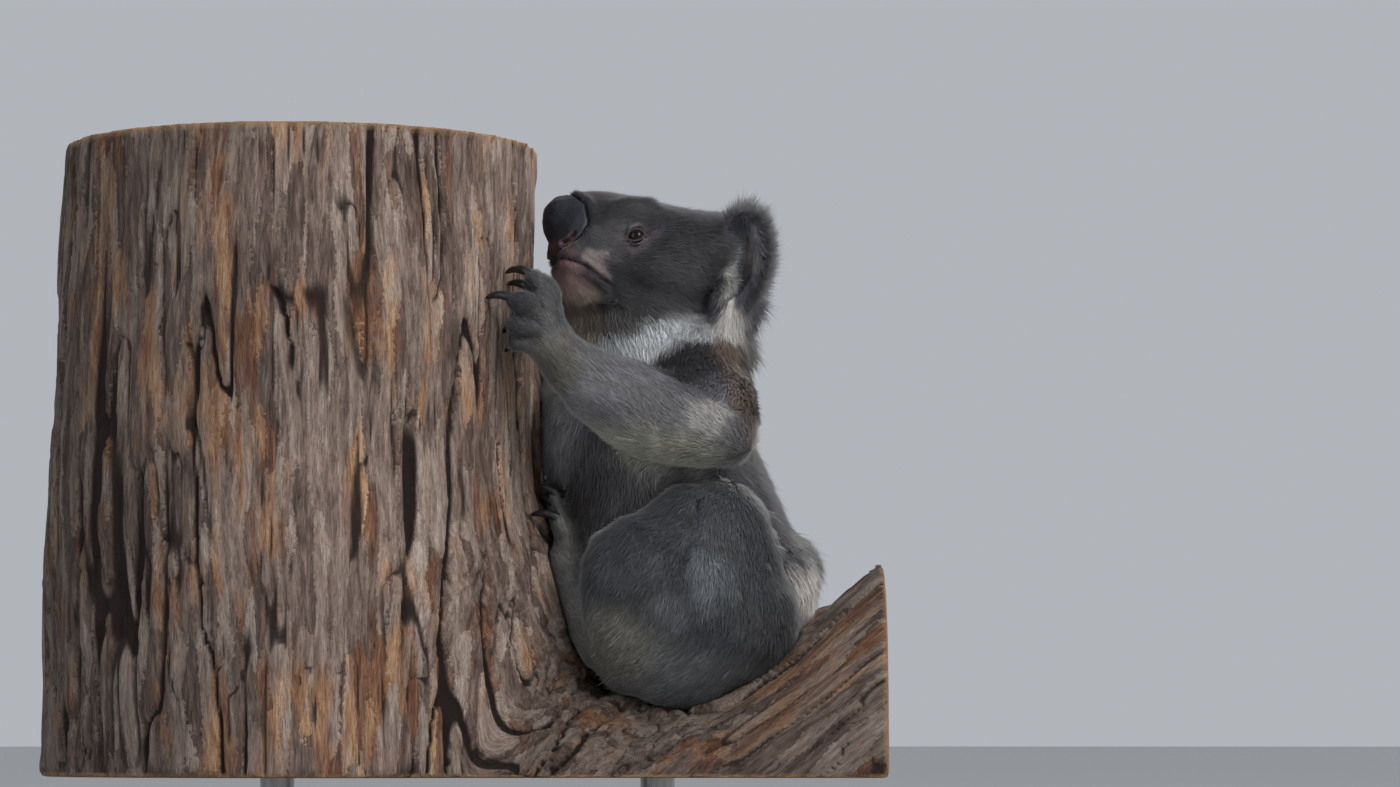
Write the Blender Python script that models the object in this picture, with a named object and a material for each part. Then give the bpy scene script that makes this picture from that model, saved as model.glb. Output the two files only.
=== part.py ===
"""A koala sitting in the fork of a gum tree, life size, on a plain display stand.

Metres, +Z up. The koala faces -X, its left side is -Y. The origin is the middle of the stand's underside.
"""

import math

import bmesh
import bpy
from mathutils import Matrix, Vector

GAP = 0.0003  # clearance between solids that meet

# Stand: a board and two short rods that carry the sawn fork
BASE_LENGTH = 0.74
BASE_WIDTH = 0.46
BASE_THICKNESS = 0.022
BASE_EDGE = 0.004
ROD_RADIUS = 0.014
ROD_LENGTH = 0.050
ROD_PLACES = {"1": -0.15, "2": 0.16}

# Fork: an upright trunk and a slanting limb, sawn level below, level above and plumb at the limb's end
FORK_BOTTOM = BASE_THICKNESS + ROD_LENGTH + 2 * GAP
FORK_TOP = 0.585
TRUNK_HALF_WIDTH = 0.2035
# height, left edge, right edge: the right side flares where the limb leaves
TRUNK_SECTIONS = (
    (FORK_BOTTOM - 0.02, -0.3430, 0.1350),
    (0.120, -0.3430, 0.1230),
    (0.165, -0.3430, 0.1120),
    (0.215, -0.3425, 0.0905),
    (0.275, -0.3400, 0.0690),
    (0.350, -0.3370, 0.0620),
    (0.480, -0.3310, 0.0600),
    (FORK_TOP + 0.02, -0.3250, 0.0625),
)
LIMB_END = 0.3423
LIMB_HALF_WIDTH = 0.182
LIMB_HALF_HEIGHT = 0.150
LIMB_SQUARENESS = 0.66  # 1 would give the limb an oval section, less flattens its top and sides
# x and height along the limb's upper line, from the crotch outwards
LIMB_TOP_LINE = (
    (0.000, 0.158),
    (0.085, 0.153),
    (0.118, 0.142),
    (0.152, 0.133),
    (0.205, 0.139),
    (0.255, 0.170),
    (0.305, 0.217),
    (0.365, 0.270),
    (0.420, 0.317),
)

# Koala, in the fork. Body stations run down the spine.
# x, height, half depth, half width
TORSO = (
    (0.152, 0.430, 0.0720, 0.064),
    (0.147, 0.395, 0.0800, 0.082),
    (0.148, 0.356, 0.0845, 0.097),
    (0.156, 0.315, 0.0880, 0.102),
    (0.171, 0.270, 0.0920, 0.113),
    (0.189, 0.222, 0.0910, 0.113),
    (0.196, 0.182, 0.0780, 0.101),
    (0.186, 0.152, 0.0580, 0.080),
)
# the neck's rows end with how far it leans left, to follow the turned head
NECK = (
    (0.158, 0.412, 0.0790, 0.070, 0.002),
    (0.156, 0.447, 0.0760, 0.059, 0.010),
    (0.178, 0.468, 0.0520, 0.040, 0.016),
)
RUMP = ((0.250, 0, 0.222), (0.041, 0.076, 0.056), 25)

# Head, in its own axes from the pivot: forward, left, up
HEAD_PIVOT = Vector((0.203, 0.0, 0.495))
HEAD_YAW = 14
HEAD_ROLL = -7
# forward, top, bottom, half width, width kept at the bottom
HEAD = (
    (0.1300, 0.0360, -0.0340, 0.0185, 0.75),
    (0.1240, 0.0445, -0.0415, 0.0270, 0.72),
    (0.1145, 0.0525, -0.0460, 0.0335, 0.68),
    (0.1000, 0.0565, -0.0490, 0.0390, 0.66),
    (0.0810, 0.0545, -0.0510, 0.0455, 0.70),
    (0.0595, 0.0500, -0.0510, 0.0530, 0.80),
    (0.0380, 0.0445, -0.0450, 0.0600, 0.86),
    (0.0170, 0.0400, -0.0370, 0.0640, 0.88),
    (-0.0040, 0.0370, -0.0320, 0.0630, 0.86),
    (-0.0240, 0.0310, -0.0260, 0.0540, 0.84),
    (-0.0385, 0.0180, -0.0160, 0.0330, 0.84),
)
# centre, radii and pitch of masses on the head
CHEEK = ((0.040, 0.034, -0.014), (0.046, 0.030, 0.036), 0)
CHIN = ((0.109, 0.0, -0.024), (0.025, 0.025, 0.025), 0)
UPPER_LIP = ((0.111, 0.012, 0.004), (0.022, 0.021, 0.020), 0)
BROW = ((0.074, 0.024, 0.034), (0.030, 0.018, 0.013), -6)
NOSE_BULB = ((0.1120, 0.0, 0.0200), (0.0225, 0.0215, 0.0330), -37)
NOSE_PATCH = ((0.1310, 0.0, 0.0275), (0.0265, 0.0500, 0.0295), -44)
NOSE_STANDS = 0.0012
EYE_PLACE = (0.0715, 0.0080)
EYE_RADIUS = 0.0083
EYE_DEPTH = 0.0046  # from the face down to the middle of the eyeball

# Ear: a furry cup, its middle, the way it faces and its half sizes out to the fringe
EAR_PLACE = (-0.0010, 0.0755, -0.0150)
EAR_FACES = (0.88, 0.46, 0.08)
EAR_HALF_WIDTH = 0.0305
EAR_HALF_HEIGHT = 0.0520
EAR_TAPER = 0.40  # how much narrower the ear is at its foot than halfway up
EAR_RIM = 0.0125
EAR_CUP = 0.0120
EAR_BACK = 0.0200  # how far the back of the ear bulges behind its rim
EAR_LEAN = 6

# Limbs of the left side: x, outward, height, radius
UPPER_ARM = ((0.190, 0.050, 0.398, 0.045), (0.200, 0.086, 0.374, 0.041), (0.210, 0.110, 0.352, 0.034))
FOREARM = (
    (0.2130, 0.114, 0.346, 0.0300),
    (0.1870, 0.118, 0.352, 0.0350),
    (0.1510, 0.121, 0.363, 0.0375),
    (0.1190, 0.121, 0.379, 0.0320),
    (0.0930, 0.120, 0.398, 0.0245),
    (0.0745, 0.118, 0.417, 0.0195),
)
HAUNCH = ((0.1890, 0.094, 0.221), (0.0720, 0.055, 0.0975), 13)
THIGH = ((0.214, 0.085, 0.200, 0.062), (0.176, 0.100, 0.226, 0.062), (0.150, 0.106, 0.233, 0.052))
SHANK = ((0.140, 0.106, 0.226, 0.043), (0.142, 0.098, 0.198, 0.042), (0.146, 0.084, 0.172, 0.038))

# Hand: palm, then each digit from the palm to where its claw grows, and the claw's tip
PALM = ((0.0801, 0.118, 0.4158, 0.0195), (0.0713, 0.118, 0.4230, 0.0200), (0.0681, 0.115, 0.4343, 0.0205))
HAND_DIGITS = {
    "1": (((0.073, 0.100, 0.4390), (0.067, 0.098, 0.4535), (0.058, 0.100, 0.4612)), 0.0088, (0.0407, 0.0880, 0.4671)),
    "2": (((0.076, 0.108, 0.4420), (0.0744, 0.113, 0.4600), (0.0625, 0.110, 0.4700)), 0.0102, (0.0388, 0.0925, 0.4760)),
    "3": (((0.068, 0.120, 0.4400), (0.0582, 0.129, 0.4480), (0.0480, 0.127, 0.4505)), 0.0106, (0.0240, 0.1186, 0.4535)),
    "4": (((0.066, 0.124, 0.4302), (0.0560, 0.131, 0.4300), (0.0475, 0.127, 0.4290)), 0.0100, (0.0372, 0.1010, 0.4270)),
    "5": (((0.065, 0.120, 0.4220), (0.0555, 0.125, 0.4180), (0.0475, 0.119, 0.4170)), 0.0092, (0.0390, 0.0970, 0.4120)),
}
# Foot: sole from heel to ball, then the digits; the first is blunt, the second and third are joined
SOLE = (
    (0.1230, 0.078, 0.180, 0.0270),
    (0.1120, 0.067, 0.196, 0.0250),
    (0.0985, 0.058, 0.222, 0.0205),
    (0.0880, 0.053, 0.248, 0.0175),
)
FOOT_DIGITS = {
    "1": (((0.0900, 0.040, 0.240), (0.0850, 0.026, 0.250), (0.0810, 0.018, 0.262)), 0.0090, None),
    "2": (((0.0850, 0.044, 0.260), (0.0785, 0.036, 0.277), (0.0740, 0.034, 0.2875)), 0.0068, (0.0645, 0.0330, 0.2960)),
    "3": (((0.0855, 0.049, 0.260), (0.0800, 0.044, 0.280), (0.0760, 0.043, 0.2915)), 0.0068, (0.0635, 0.0420, 0.3000)),
    "4": (((0.0870, 0.056, 0.260), (0.0855, 0.056, 0.283), (0.0800, 0.056, 0.2985)), 0.0092, (0.0615, 0.0530, 0.3065)),
    "5": (((0.0900, 0.063, 0.252), (0.0880, 0.069, 0.268), (0.0810, 0.071, 0.2790)), 0.0088, (0.0590, 0.0650, 0.2830)),
}
TOE_HOLLOW = (0.0690, 0.047, 0.2950, 0.0235)  # a hollow in the belly where the toes and their claws lie
CLAW_BASE = 0.0036
CLAW_ROOT = 0.004  # how far a claw starts behind the digit's end
CLAW_AWAY = (0.45, 0.75, 0.45)  # the way a claw arches: back, outward, up
CLAW_ARCH = 0.22  # how high it arches, as a share of its length
CLAW_TAPER = ((0.0, 1.0), (0.4, 0.92), (0.75, 0.60), (1.0, 0.16))  # thickness along it, in shares

# The planes that part head, neck and trunk, upper arm and forearm, thigh and shank: a point and a normal
HEAD_CUT = (Vector((0.168, 0, 0.4475)), Vector((0.10, 0, 1)).normalized())
NECK_CUT = (Vector((0.160, 0, 0.4150)), Vector((0.08, 0, 1)).normalized())
ELBOW_CUT = (Vector((0.206, 0, 0.372)), Vector((0.55, 0, 1)).normalized())
KNEE_CUT = (Vector((0.145, 0, 0.200)), Vector((0.45, 0, 1)).normalized())

SIDES = {"left": -1, "right": 1}

# How each body of flesh is melted from its masses: grid, rounds of smoothing, triangles kept
MELT = {
    "head": (0.0030, 5, 1020),
    "trunk": (0.0050, 6, 600),
    "leg": (0.0045, 5, 290),
    "arm": (0.0040, 4, 280),
    "paw": (0.0022, 4, 270),
}


def smooth_path(points, per_span):
    """Points on a Catmull-Rom curve through rows of numbers, any of which may be radii."""
    rows = [Vector(p) for p in points]
    rows = [2 * rows[0] - rows[1], *rows, 2 * rows[-1] - rows[-2]]
    made = []
    for a, b, c, d in zip(rows, rows[1:], rows[2:], rows[3:]):
        for step in range(per_span):
            t = step / per_span
            made.append(
                0.5 * ((2 * b) + (c - a) * t + (2 * a - 5 * b + 4 * c - d) * t * t + (3 * b - a - 3 * c + d) * t**3)
            )
    return made + [rows[-2]]


def add_rings(bm, rings):
    """A closed skin over rings of points, with a fan on each end."""
    loops = [[bm.verts.new(p) for p in ring] for ring in rings]
    count = len(loops[0])
    for low, high in zip(loops, loops[1:]):
        for i in range(count):
            j = (i + 1) % count
            bm.faces.new((low[i], low[j], high[j], high[i]))
    for loop, flip in ((loops[0], True), (loops[-1], False)):
        middle = bm.verts.new(sum((v.co for v in loop), Vector()) / count)
        for i in range(count):
            j = (i + 1) % count
            bm.faces.new((loop[j], loop[i], middle) if flip else (loop[i], loop[j], middle))


def tube_rings(stations, sides, per_span, rounded=True):
    """Rings of points along rows of x, y, z, radius, with both ends rounded off."""
    rows = smooth_path(stations, per_span)
    places = [Vector(r[:3]) for r in rows]
    rings = []
    across = None
    for i, (place, row) in enumerate(zip(places, rows)):
        along = (places[min(i + 1, len(places) - 1)] - places[max(i - 1, 0)]).normalized()
        across = (along.orthogonal() if across is None else across - across.dot(along) * along).normalized()
        other = along.cross(across)
        for lift, share in end_rounding(i, len(places)) if rounded else ((0.0, 1.0),):
            centre = place + along * lift * row[3]
            ring = []
            for k in range(sides):
                angle = 2 * math.pi * k / sides
                ring.append(centre + share * row[3] * (across * math.cos(angle) + other * math.sin(angle)))
            rings.append(ring)
    return rings


def add_tube(bm, stations, sides=20, per_span=4):
    """A round-ended tube along rows of x, y, z, radius."""
    add_rings(bm, tube_rings(stations, sides, per_span))


def end_rounding(index, count):
    """The lifts and shares of radius that round off the first and last ring of a tube."""
    dome = [(math.sin(a), math.cos(a)) for a in (0.0, 0.5, 1.0, 1.35)]
    if index == 0:
        return [(-lift, share) for lift, share in reversed(dome)]
    if index == count - 1:
        return dome
    return [(0.0, 1.0)]


def add_barrel(bm, stations, sides=28, per_span=4):
    """A tube up or down the body, from rows of x, z, half depth, half width and, if it leans, its shift to the left."""
    rows = smooth_path(stations, per_span)
    rings = []
    for i, row in enumerate(rows):
        before, after = rows[max(i - 1, 0)], rows[min(i + 1, len(rows) - 1)]
        along = Vector((after[0] - before[0], 0, after[1] - before[1])).normalized()
        depth_way = Vector((-along.z, 0, along.x))
        for lift, share in end_rounding(i, len(rows)):
            centre = Vector((row[0], -sum(row[4:]), row[1])) + along * lift * 0.6 * row[2]
            ring = []
            for k in range(sides):
                angle = 2 * math.pi * k / sides
                depth = share * row[2] * math.cos(angle)
                width = share * row[3] * math.sin(angle)
                ring.append(centre + depth_way * depth + Vector((0, width, 0)))
            rings.append(ring)
    add_rings(bm, rings)


def add_ellipsoid(bm, centre, radii, turn=Matrix.Identity(3), sides=20):
    """An ellipsoid whose axes are turned by a 3 by 3 matrix."""
    shape = Matrix.Translation(centre) @ turn.to_4x4() @ Matrix.Diagonal((*radii, 1))
    bmesh.ops.create_uvsphere(bm, u_segments=sides, v_segments=sides * 3 // 5, radius=1, matrix=shape)


def to_object(name, bm):
    bmesh.ops.recalc_face_normals(bm, faces=bm.faces)
    mesh = bpy.data.meshes.new(name)
    bm.to_mesh(mesh)
    bm.free()
    obj = bpy.data.objects.new(name, mesh)
    bpy.context.scene.collection.objects.link(obj)
    return obj


def apply_modifiers(obj):
    """Keeps what the modifiers make as the object's own mesh."""
    bpy.context.view_layer.update()
    made = obj.evaluated_get(bpy.context.evaluated_depsgraph_get())
    mesh = bpy.data.meshes.new_from_object(made)
    obj.modifiers.clear()
    obj.data = mesh
    return obj


def fuse(obj, voxel, smoothing, triangles):
    """Melts overlapping shapes into one smooth skin with about that many triangles."""
    remesh = obj.modifiers.new("melt", "REMESH")
    remesh.mode = "VOXEL"
    remesh.voxel_size = voxel
    smooth = obj.modifiers.new("smooth", "SMOOTH")
    smooth.iterations = smoothing
    smooth.factor = 0.5
    apply_modifiers(obj)
    count = sum(len(p.vertices) - 2 for p in obj.data.polygons)
    thin = obj.modifiers.new("thin", "DECIMATE")
    thin.ratio = triangles / count
    thin.use_collapse_triangulate = True
    return apply_modifiers(obj)


def boolean(obj, other, operation):
    cut = obj.modifiers.new(operation.lower(), "BOOLEAN")
    cut.operation = operation
    cut.object = other
    cut.solver = "EXACT"
    return apply_modifiers(obj)


def copy_of(obj, name):
    made = obj.copy()
    made.data = obj.data.copy()
    made.name = name
    bpy.context.scene.collection.objects.link(made)
    return made


def grown(obj, by):
    """A copy whose surface stands out by that much."""
    made = copy_of(obj, obj.name + "_grown")
    normals = [v.normal.copy() for v in made.data.vertices]
    for vertex, normal in zip(made.data.vertices, normals):
        vertex.co += normal * by
    return made


def discard(*objects):
    for obj in objects:
        bpy.data.objects.remove(obj)


def block(low, high):
    """A box between two corners."""
    bm = bmesh.new()
    size = Vector(high) - Vector(low)
    centre = (Vector(high) + Vector(low)) / 2
    bmesh.ops.create_cube(bm, size=1, matrix=Matrix.Translation(centre) @ Matrix.Diagonal((*size, 1)))
    return to_object("block", bm)


def slab(plane, low, high, reach=0.16):
    """A block across a plane of parting, from low to high along its normal."""
    point, normal = plane
    side = Vector((0, 1, 0))
    bm = bmesh.new()
    turn = Matrix((side.cross(normal), side, normal)).transposed().to_4x4()
    size = Matrix.Diagonal((2 * reach, 2 * reach, high - low, 1))
    centre = Matrix.Translation(point + normal * (low + high) / 2)
    bmesh.ops.create_cube(bm, size=1, matrix=centre @ turn @ size)
    return to_object("slab", bm)


def parted(flesh, name, plane, reach=0.16):
    """Saws the flesh at a plane: what lies above it becomes a new object, and the rest stays a gap below."""
    above, below = slab(plane, GAP / 2, 0.4, reach), slab(plane, -0.6, -GAP / 2, reach)
    part = boolean(copy_of(flesh, name), above, "INTERSECT")
    boolean(flesh, below, "INTERSECT")
    discard(above, below)
    return keep_largest(part)


def kept_off(obj, *others):
    """Cuts the object back a gap from each of the others."""
    for other in others:
        clear = grown(other, GAP)
        boolean(obj, clear, "DIFFERENCE")
        discard(clear)
    return keep_largest(obj)


def keep_largest(obj):
    """Drops the crumbs that a cut leaves beside the main body."""
    bm = bmesh.new()
    bm.from_mesh(obj.data)
    islands, seen = [], set()
    for start in bm.verts:
        if start in seen:
            continue
        island, todo = [], [start]
        seen.add(start)
        while todo:
            vertex = todo.pop()
            island.append(vertex)
            for edge in vertex.link_edges:
                other = edge.other_vert(vertex)
                if other not in seen:
                    seen.add(other)
                    todo.append(other)
        islands.append(island)
    islands.sort(key=len)
    bmesh.ops.delete(bm, geom=[v for island in islands[:-1] for v in island], context="VERTS")
    bm.to_mesh(obj.data)
    bm.free()
    return obj


def material(name, colour, roughness, metallic=0.0):
    made = bpy.data.materials.new(name)
    made.use_nodes = True
    shader = made.node_tree.nodes["Principled BSDF"]
    shader.inputs["Base Color"].default_value = (*colour, 1)
    shader.inputs["Roughness"].default_value = roughness
    shader.inputs["Metallic"].default_value = metallic
    made.diffuse_color = (*colour, 1)
    return made


def finish(obj, made_of, smooth=True):
    obj.data.materials.clear()
    obj.data.materials.append(made_of)
    if smooth:
        obj.data.shade_smooth()
    else:
        obj.data.shade_flat()
    return obj


def outward(row, sign):
    """A row of x, outward, height and more, placed on one side of the body."""
    return (row[0], sign * row[1], *row[2:])


# Head axes: forward is -X, left is -Y, turned by the head's yaw and roll
HEAD_TURN = Matrix.Rotation(math.radians(HEAD_YAW), 3, "Z") @ Matrix.Rotation(math.radians(HEAD_ROLL), 3, "X")


def on_head(forward, left, up):
    return HEAD_PIVOT + HEAD_TURN @ Vector((-forward, -left, up))


def pitched(degrees):
    """The head's turn after a pitch in its own middle plane, nose up."""
    return HEAD_TURN @ Matrix.Rotation(math.radians(degrees), 3, "Y")


def head_ring(row, sides=28):
    """One cross-section of the head: rounded above, narrower towards the jaw."""
    forward, top, bottom, half_width, kept = row
    middle = 0.42 * top + 0.58 * bottom
    ring = []
    for k in range(sides):
        angle = 2 * math.pi * k / sides
        rise = math.sin(angle)
        up = middle + rise * ((top - middle) if rise > 0 else (middle - bottom))
        narrow = 1 if rise > 0 else 1 - (1 - kept) * rise * rise
        ring.append(on_head(forward, half_width * narrow * math.cos(angle), up))
    return ring


def head_flesh():
    bm = bmesh.new()
    rows = smooth_path(HEAD, 3)
    add_rings(bm, [head_ring(row) for row in rows])
    for centre, radii, pitch in (CHEEK, UPPER_LIP, BROW):
        for side in (-1, 1):
            add_ellipsoid(bm, on_head(centre[0], side * centre[1], centre[2]), radii, pitched(pitch))
    for centre, radii, pitch in (CHIN, NOSE_BULB):
        add_ellipsoid(bm, on_head(*centre), radii, pitched(pitch))
    add_barrel(bm, NECK)
    return fuse(to_object("head", bm), *MELT["head"])


def trunk_flesh():
    bm = bmesh.new()
    add_barrel(bm, TORSO)
    add_barrel(bm, NECK)
    centre, radii, pitch = RUMP
    add_ellipsoid(bm, Vector(centre), radii, Matrix.Rotation(math.radians(pitch), 3, "Y"))
    return fuse(to_object("trunk", bm), *MELT["trunk"])


def leg_flesh(name, sign):
    bm = bmesh.new()
    for path in (THIGH, SHANK):
        add_tube(bm, [outward(row, sign) for row in path])
    centre, radii, pitch = HAUNCH
    add_ellipsoid(bm, Vector(outward(centre, sign)), radii, Matrix.Rotation(math.radians(pitch), 3, "Y"))
    return fuse(to_object(name, bm), *MELT["leg"])


def arm_flesh(name, sign):
    bm = bmesh.new()
    for path in (UPPER_ARM, FOREARM):
        add_tube(bm, [outward(row, sign) for row in path])
    return fuse(to_object(name, bm), *MELT["arm"])


def digit(bm, points, radius, sign):
    rows = [(*outward(p, sign), radius * share) for p, share in zip(points, (1.08, 1.0, 0.86))]
    add_tube(bm, rows, sides=12, per_span=4)


def claw(name, base, tip, sign):
    """A hooked claw: a tapering tube that leaves the digit's end and bends down to its tip."""
    start, end = Vector(outward(base, sign)), Vector(outward(tip, sign))
    reach = end - start
    start = start - reach.normalized() * CLAW_ROOT
    away = Vector(outward(CLAW_AWAY, sign)).normalized()
    arch = away - away.dot(reach.normalized()) * reach.normalized()
    arch = arch.normalized() * reach.length * CLAW_ARCH
    rows = []
    for share, thick in CLAW_TAPER:
        bend = 4 * share * (1 - share)
        rows.append((*(start + (end - start) * share + arch * bend), CLAW_BASE * thick))
    bm = bmesh.new()
    add_rings(bm, tube_rings(rows, 6, 1, rounded=False))
    return to_object(name, bm)


def paw(name, core, digits, sign, others):
    """A hand or a foot, its core and digits melted into one and cut back from the others, and its claws."""
    bm = bmesh.new()
    add_tube(bm, [outward(row, sign) for row in core], sides=16)
    for points, radius, _ in digits.values():
        digit(bm, points, radius, sign)
    shape = kept_off(fuse(to_object(name, bm), *MELT["paw"]), *others)
    nails = []
    for number, (points, _, tip) in digits.items():
        if tip is not None:
            nail = kept_off(claw("claw_" + name + "_" + number, points[-1], tip, sign), others[0])
            kept_off(shape, nail)
            nails.append(nail)
    return shape, nails


def ear(name, side):
    """A cupped disc with a round rim, narrower at its foot, turned to face forward and outward."""
    facing = Vector((EAR_FACES[0], side * EAR_FACES[1], EAR_FACES[2])).normalized()
    up = Vector((-math.sin(math.radians(EAR_LEAN)), side * 0.10, 1)).normalized()
    across = up.cross(facing).normalized()
    up = facing.cross(across)
    profile = []
    for share in (0.3, 0.65):
        profile.append((share, -EAR_CUP * (1 - share * share)))
    for angle in (70, 20, -20, -60):
        bend = math.radians(angle)
        profile.append((1 + EAR_RIM / EAR_HALF_HEIGHT * (math.cos(bend) - 1), EAR_RIM * (math.sin(bend) - 1)))
    for share in (0.70, 0.35):
        profile.append((share, -1.6 * EAR_RIM - EAR_BACK * (1 - share * share)))
    middle = Vector((EAR_PLACE[0], side * EAR_PLACE[1], EAR_PLACE[2]))
    rings = []
    around = 16
    for share, depth in profile:
        ring = []
        for k in range(around):
            angle = 2 * math.pi * k / around
            breadth = EAR_HALF_WIDTH * share * (1 + EAR_TAPER * min(math.sin(angle), 0))
            place = across * (breadth * math.cos(angle)) + facing * depth
            place += up * (EAR_HALF_HEIGHT * share * math.sin(angle))
            ring.append(on_head(*(middle + place)))
        rings.append(ring)
    bm = bmesh.new()
    add_rings(bm, rings)
    return to_object(name, bm)


def ellipsoid(name, mass, more):
    """One of the head's masses as an object, grown by a little."""
    centre, radii, pitch = mass
    bm = bmesh.new()
    add_ellipsoid(bm, on_head(*centre), [r + more for r in radii], pitched(pitch), 12)
    return to_object(name, bm)


def eye_place(head, side):
    """The middle of an eyeball, sunk by its depth from the face, seen from the side."""
    forward, up = EYE_PLACE
    outside = on_head(forward, side * 0.12, up)
    inward = (on_head(forward, 0, up) - outside).normalized()
    _, face, _, _ = head.ray_cast(outside, inward)
    return face + inward * EYE_DEPTH


def ball(name, centre, radius):
    bm = bmesh.new()
    bmesh.ops.create_uvsphere(bm, u_segments=12, v_segments=7, radius=radius, matrix=Matrix.Translation(centre))
    return to_object(name, bm)


def trunk_ring(row, sides=22):
    height, left, right = row
    centre, half = (left + right) / 2, (right - left) / 2
    ring = []
    for k in range(sides):
        angle = 2 * math.pi * k / sides
        ring.append(Vector((centre + half * math.cos(angle), TRUNK_HALF_WIDTH * math.sin(angle), height)))
    return ring


def limb_rings(sides=20):
    """Flat-topped sections that hang from the limb's upper line."""
    rows = LIMB_TOP_LINE
    rings = []
    for i, row in enumerate(rows):
        before, after = rows[max(i - 1, 0)], rows[min(i + 1, len(rows) - 1)]
        along = Vector((after[0] - before[0], 0, after[1] - before[1])).normalized()
        up = Vector((-along.z, 0, along.x))
        centre = Vector((row[0], 0, row[1])) - up * LIMB_HALF_HEIGHT
        ring = []
        for k in range(sides):
            angle = 2 * math.pi * k / sides
            wide, high = math.cos(angle), math.sin(angle)
            wide = math.copysign(abs(wide) ** LIMB_SQUARENESS, wide)
            high = math.copysign(abs(high) ** LIMB_SQUARENESS, high)
            ring.append(centre + Vector((0, LIMB_HALF_WIDTH * wide, 0)) + up * LIMB_HALF_HEIGHT * high)
        rings.append(ring)
    return rings


def fork():
    """The sawn fork: trunk and limb as one piece of wood."""
    bm = bmesh.new()
    add_rings(bm, [trunk_ring(row) for row in TRUNK_SECTIONS])
    trunk = to_object("perch_fork", bm)
    bm = bmesh.new()
    add_rings(bm, limb_rings())
    limb = to_object("limb", bm)
    boolean(trunk, limb, "UNION")
    envelope = block((-0.5, -0.5, FORK_BOTTOM), (LIMB_END, 0.5, FORK_TOP))
    boolean(trunk, envelope, "INTERSECT")
    discard(limb, envelope)
    return trunk


def stand():
    bm = bmesh.new()
    size = Matrix.Diagonal((BASE_LENGTH, BASE_WIDTH, BASE_THICKNESS, 1))
    bmesh.ops.create_cube(bm, size=1, matrix=Matrix.Translation((0, 0, BASE_THICKNESS / 2)) @ size)
    base = to_object("stand_base", bm)
    edge = base.modifiers.new("edge", "BEVEL")
    edge.width = BASE_EDGE
    edge.segments = 1
    rods = []
    for number, x in ROD_PLACES.items():
        bm = bmesh.new()
        centre = Matrix.Translation((x, 0, BASE_THICKNESS + GAP + ROD_LENGTH / 2))
        bmesh.ops.create_cone(
            bm, segments=20, radius1=ROD_RADIUS, radius2=ROD_RADIUS, depth=ROD_LENGTH, cap_ends=True, matrix=centre
        )
        rods.append(to_object("stand_rod_" + number, bm))
    return base, rods


def main():
    for obj in list(bpy.data.objects):
        bpy.data.objects.remove(obj)

    fur = material("fur", (0.16, 0.15, 0.15), 0.9)
    leather = material("nose_leather", (0.03, 0.03, 0.035), 0.55)
    horn = material("claw_horn", (0.02, 0.02, 0.022), 0.35)
    eyeball = material("eye", (0.03, 0.015, 0.01), 0.08)
    bark = material("bark", (0.28, 0.19, 0.14), 0.9)
    board = material("stand_board", (0.05, 0.05, 0.055), 0.5)
    steel = material("stand_steel", (0.45, 0.45, 0.46), 0.3, 1.0)

    base, rods = stand()
    finish(base, board, smooth=False)
    for rod in rods:
        finish(rod, steel)
        rod.data.set_sharp_from_angle(angle=math.radians(40))
    wood = fork()
    finish(wood, bark)
    wood.data.set_sharp_from_angle(angle=math.radians(40))

    # The head and what sits in it
    head_and_neck = head_flesh()
    head_and_neck.name = "head_and_neck"
    head = parted(head_and_neck, "head", HEAD_CUT)
    discard(head_and_neck)
    nose = copy_of(head, "nose")
    for vertex in nose.data.vertices:
        vertex.co += vertex.normal * NOSE_STANDS
    patch = ellipsoid("patch", NOSE_PATCH, 0.0)
    boolean(nose, patch, "INTERSECT")
    keep_largest(nose)
    bed = ellipsoid("bed", NOSE_PATCH, GAP)
    boolean(head, bed, "DIFFERENCE")
    discard(patch, bed)
    keep_largest(head)
    eyes = {}
    for name, sign in SIDES.items():
        place = eye_place(head, -sign)
        eyes[name] = ball("eye_" + name, place, EYE_RADIUS)
        socket = ball("socket", place, EYE_RADIUS + GAP)
        boolean(head, socket, "DIFFERENCE")
        discard(socket)
    ears = {name: ear("ear_" + name, -sign) for name, sign in SIDES.items()}

    # Each foot presses into the belly, and each limb is cut back from what it grows from
    feet, claws = [], []
    for name, sign in SIDES.items():
        foot, nails = paw("foot_" + name, SOLE, FOOT_DIGITS, sign, (wood,))
        feet.append(foot)
        claws += nails
    trunk = trunk_flesh()
    discard(parted(trunk, "above", HEAD_CUT))
    hollows = [ball("hollow", outward(TOE_HOLLOW, sign)[:3], TOE_HOLLOW[3]) for sign in SIDES.values()]
    kept_off(trunk, wood, *hollows, *feet)
    discard(*hollows)
    neck = parted(trunk, "neck", NECK_CUT)
    keep_largest(trunk)
    for shape in ears.values():
        kept_off(shape, head, neck)
    flesh = [head, *ears.values(), trunk, neck, *feet]
    for (name, sign), foot in zip(SIDES.items(), feet):
        shank = leg_flesh("shank_" + name, sign)
        kept_off(shank, wood, trunk, foot)
        thigh = parted(shank, "thigh_" + name, KNEE_CUT, reach=0.4)
        keep_largest(shank)
        forearm = arm_flesh("forearm_" + name, sign)
        kept_off(forearm, trunk, neck, head, thigh, ears[name])
        arm = parted(forearm, "arm_" + name, ELBOW_CUT, reach=0.4)
        keep_largest(forearm)
        hand, nails = paw("hand_" + name, PALM, HAND_DIGITS, sign, (wood, forearm, head))
        claws += nails
        flesh += [shank, thigh, forearm, arm, hand]

    for obj in flesh:
        finish(obj, fur)
    for obj in claws:
        finish(obj, horn)
    for obj in eyes.values():
        finish(obj, eyeball)
    finish(nose, leather)


main()
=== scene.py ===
import itertools
import math

import bmesh
import bpy
import numpy as np
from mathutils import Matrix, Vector
from mathutils.bvhtree import BVHTree
from mathutils.kdtree import KDTree


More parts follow.
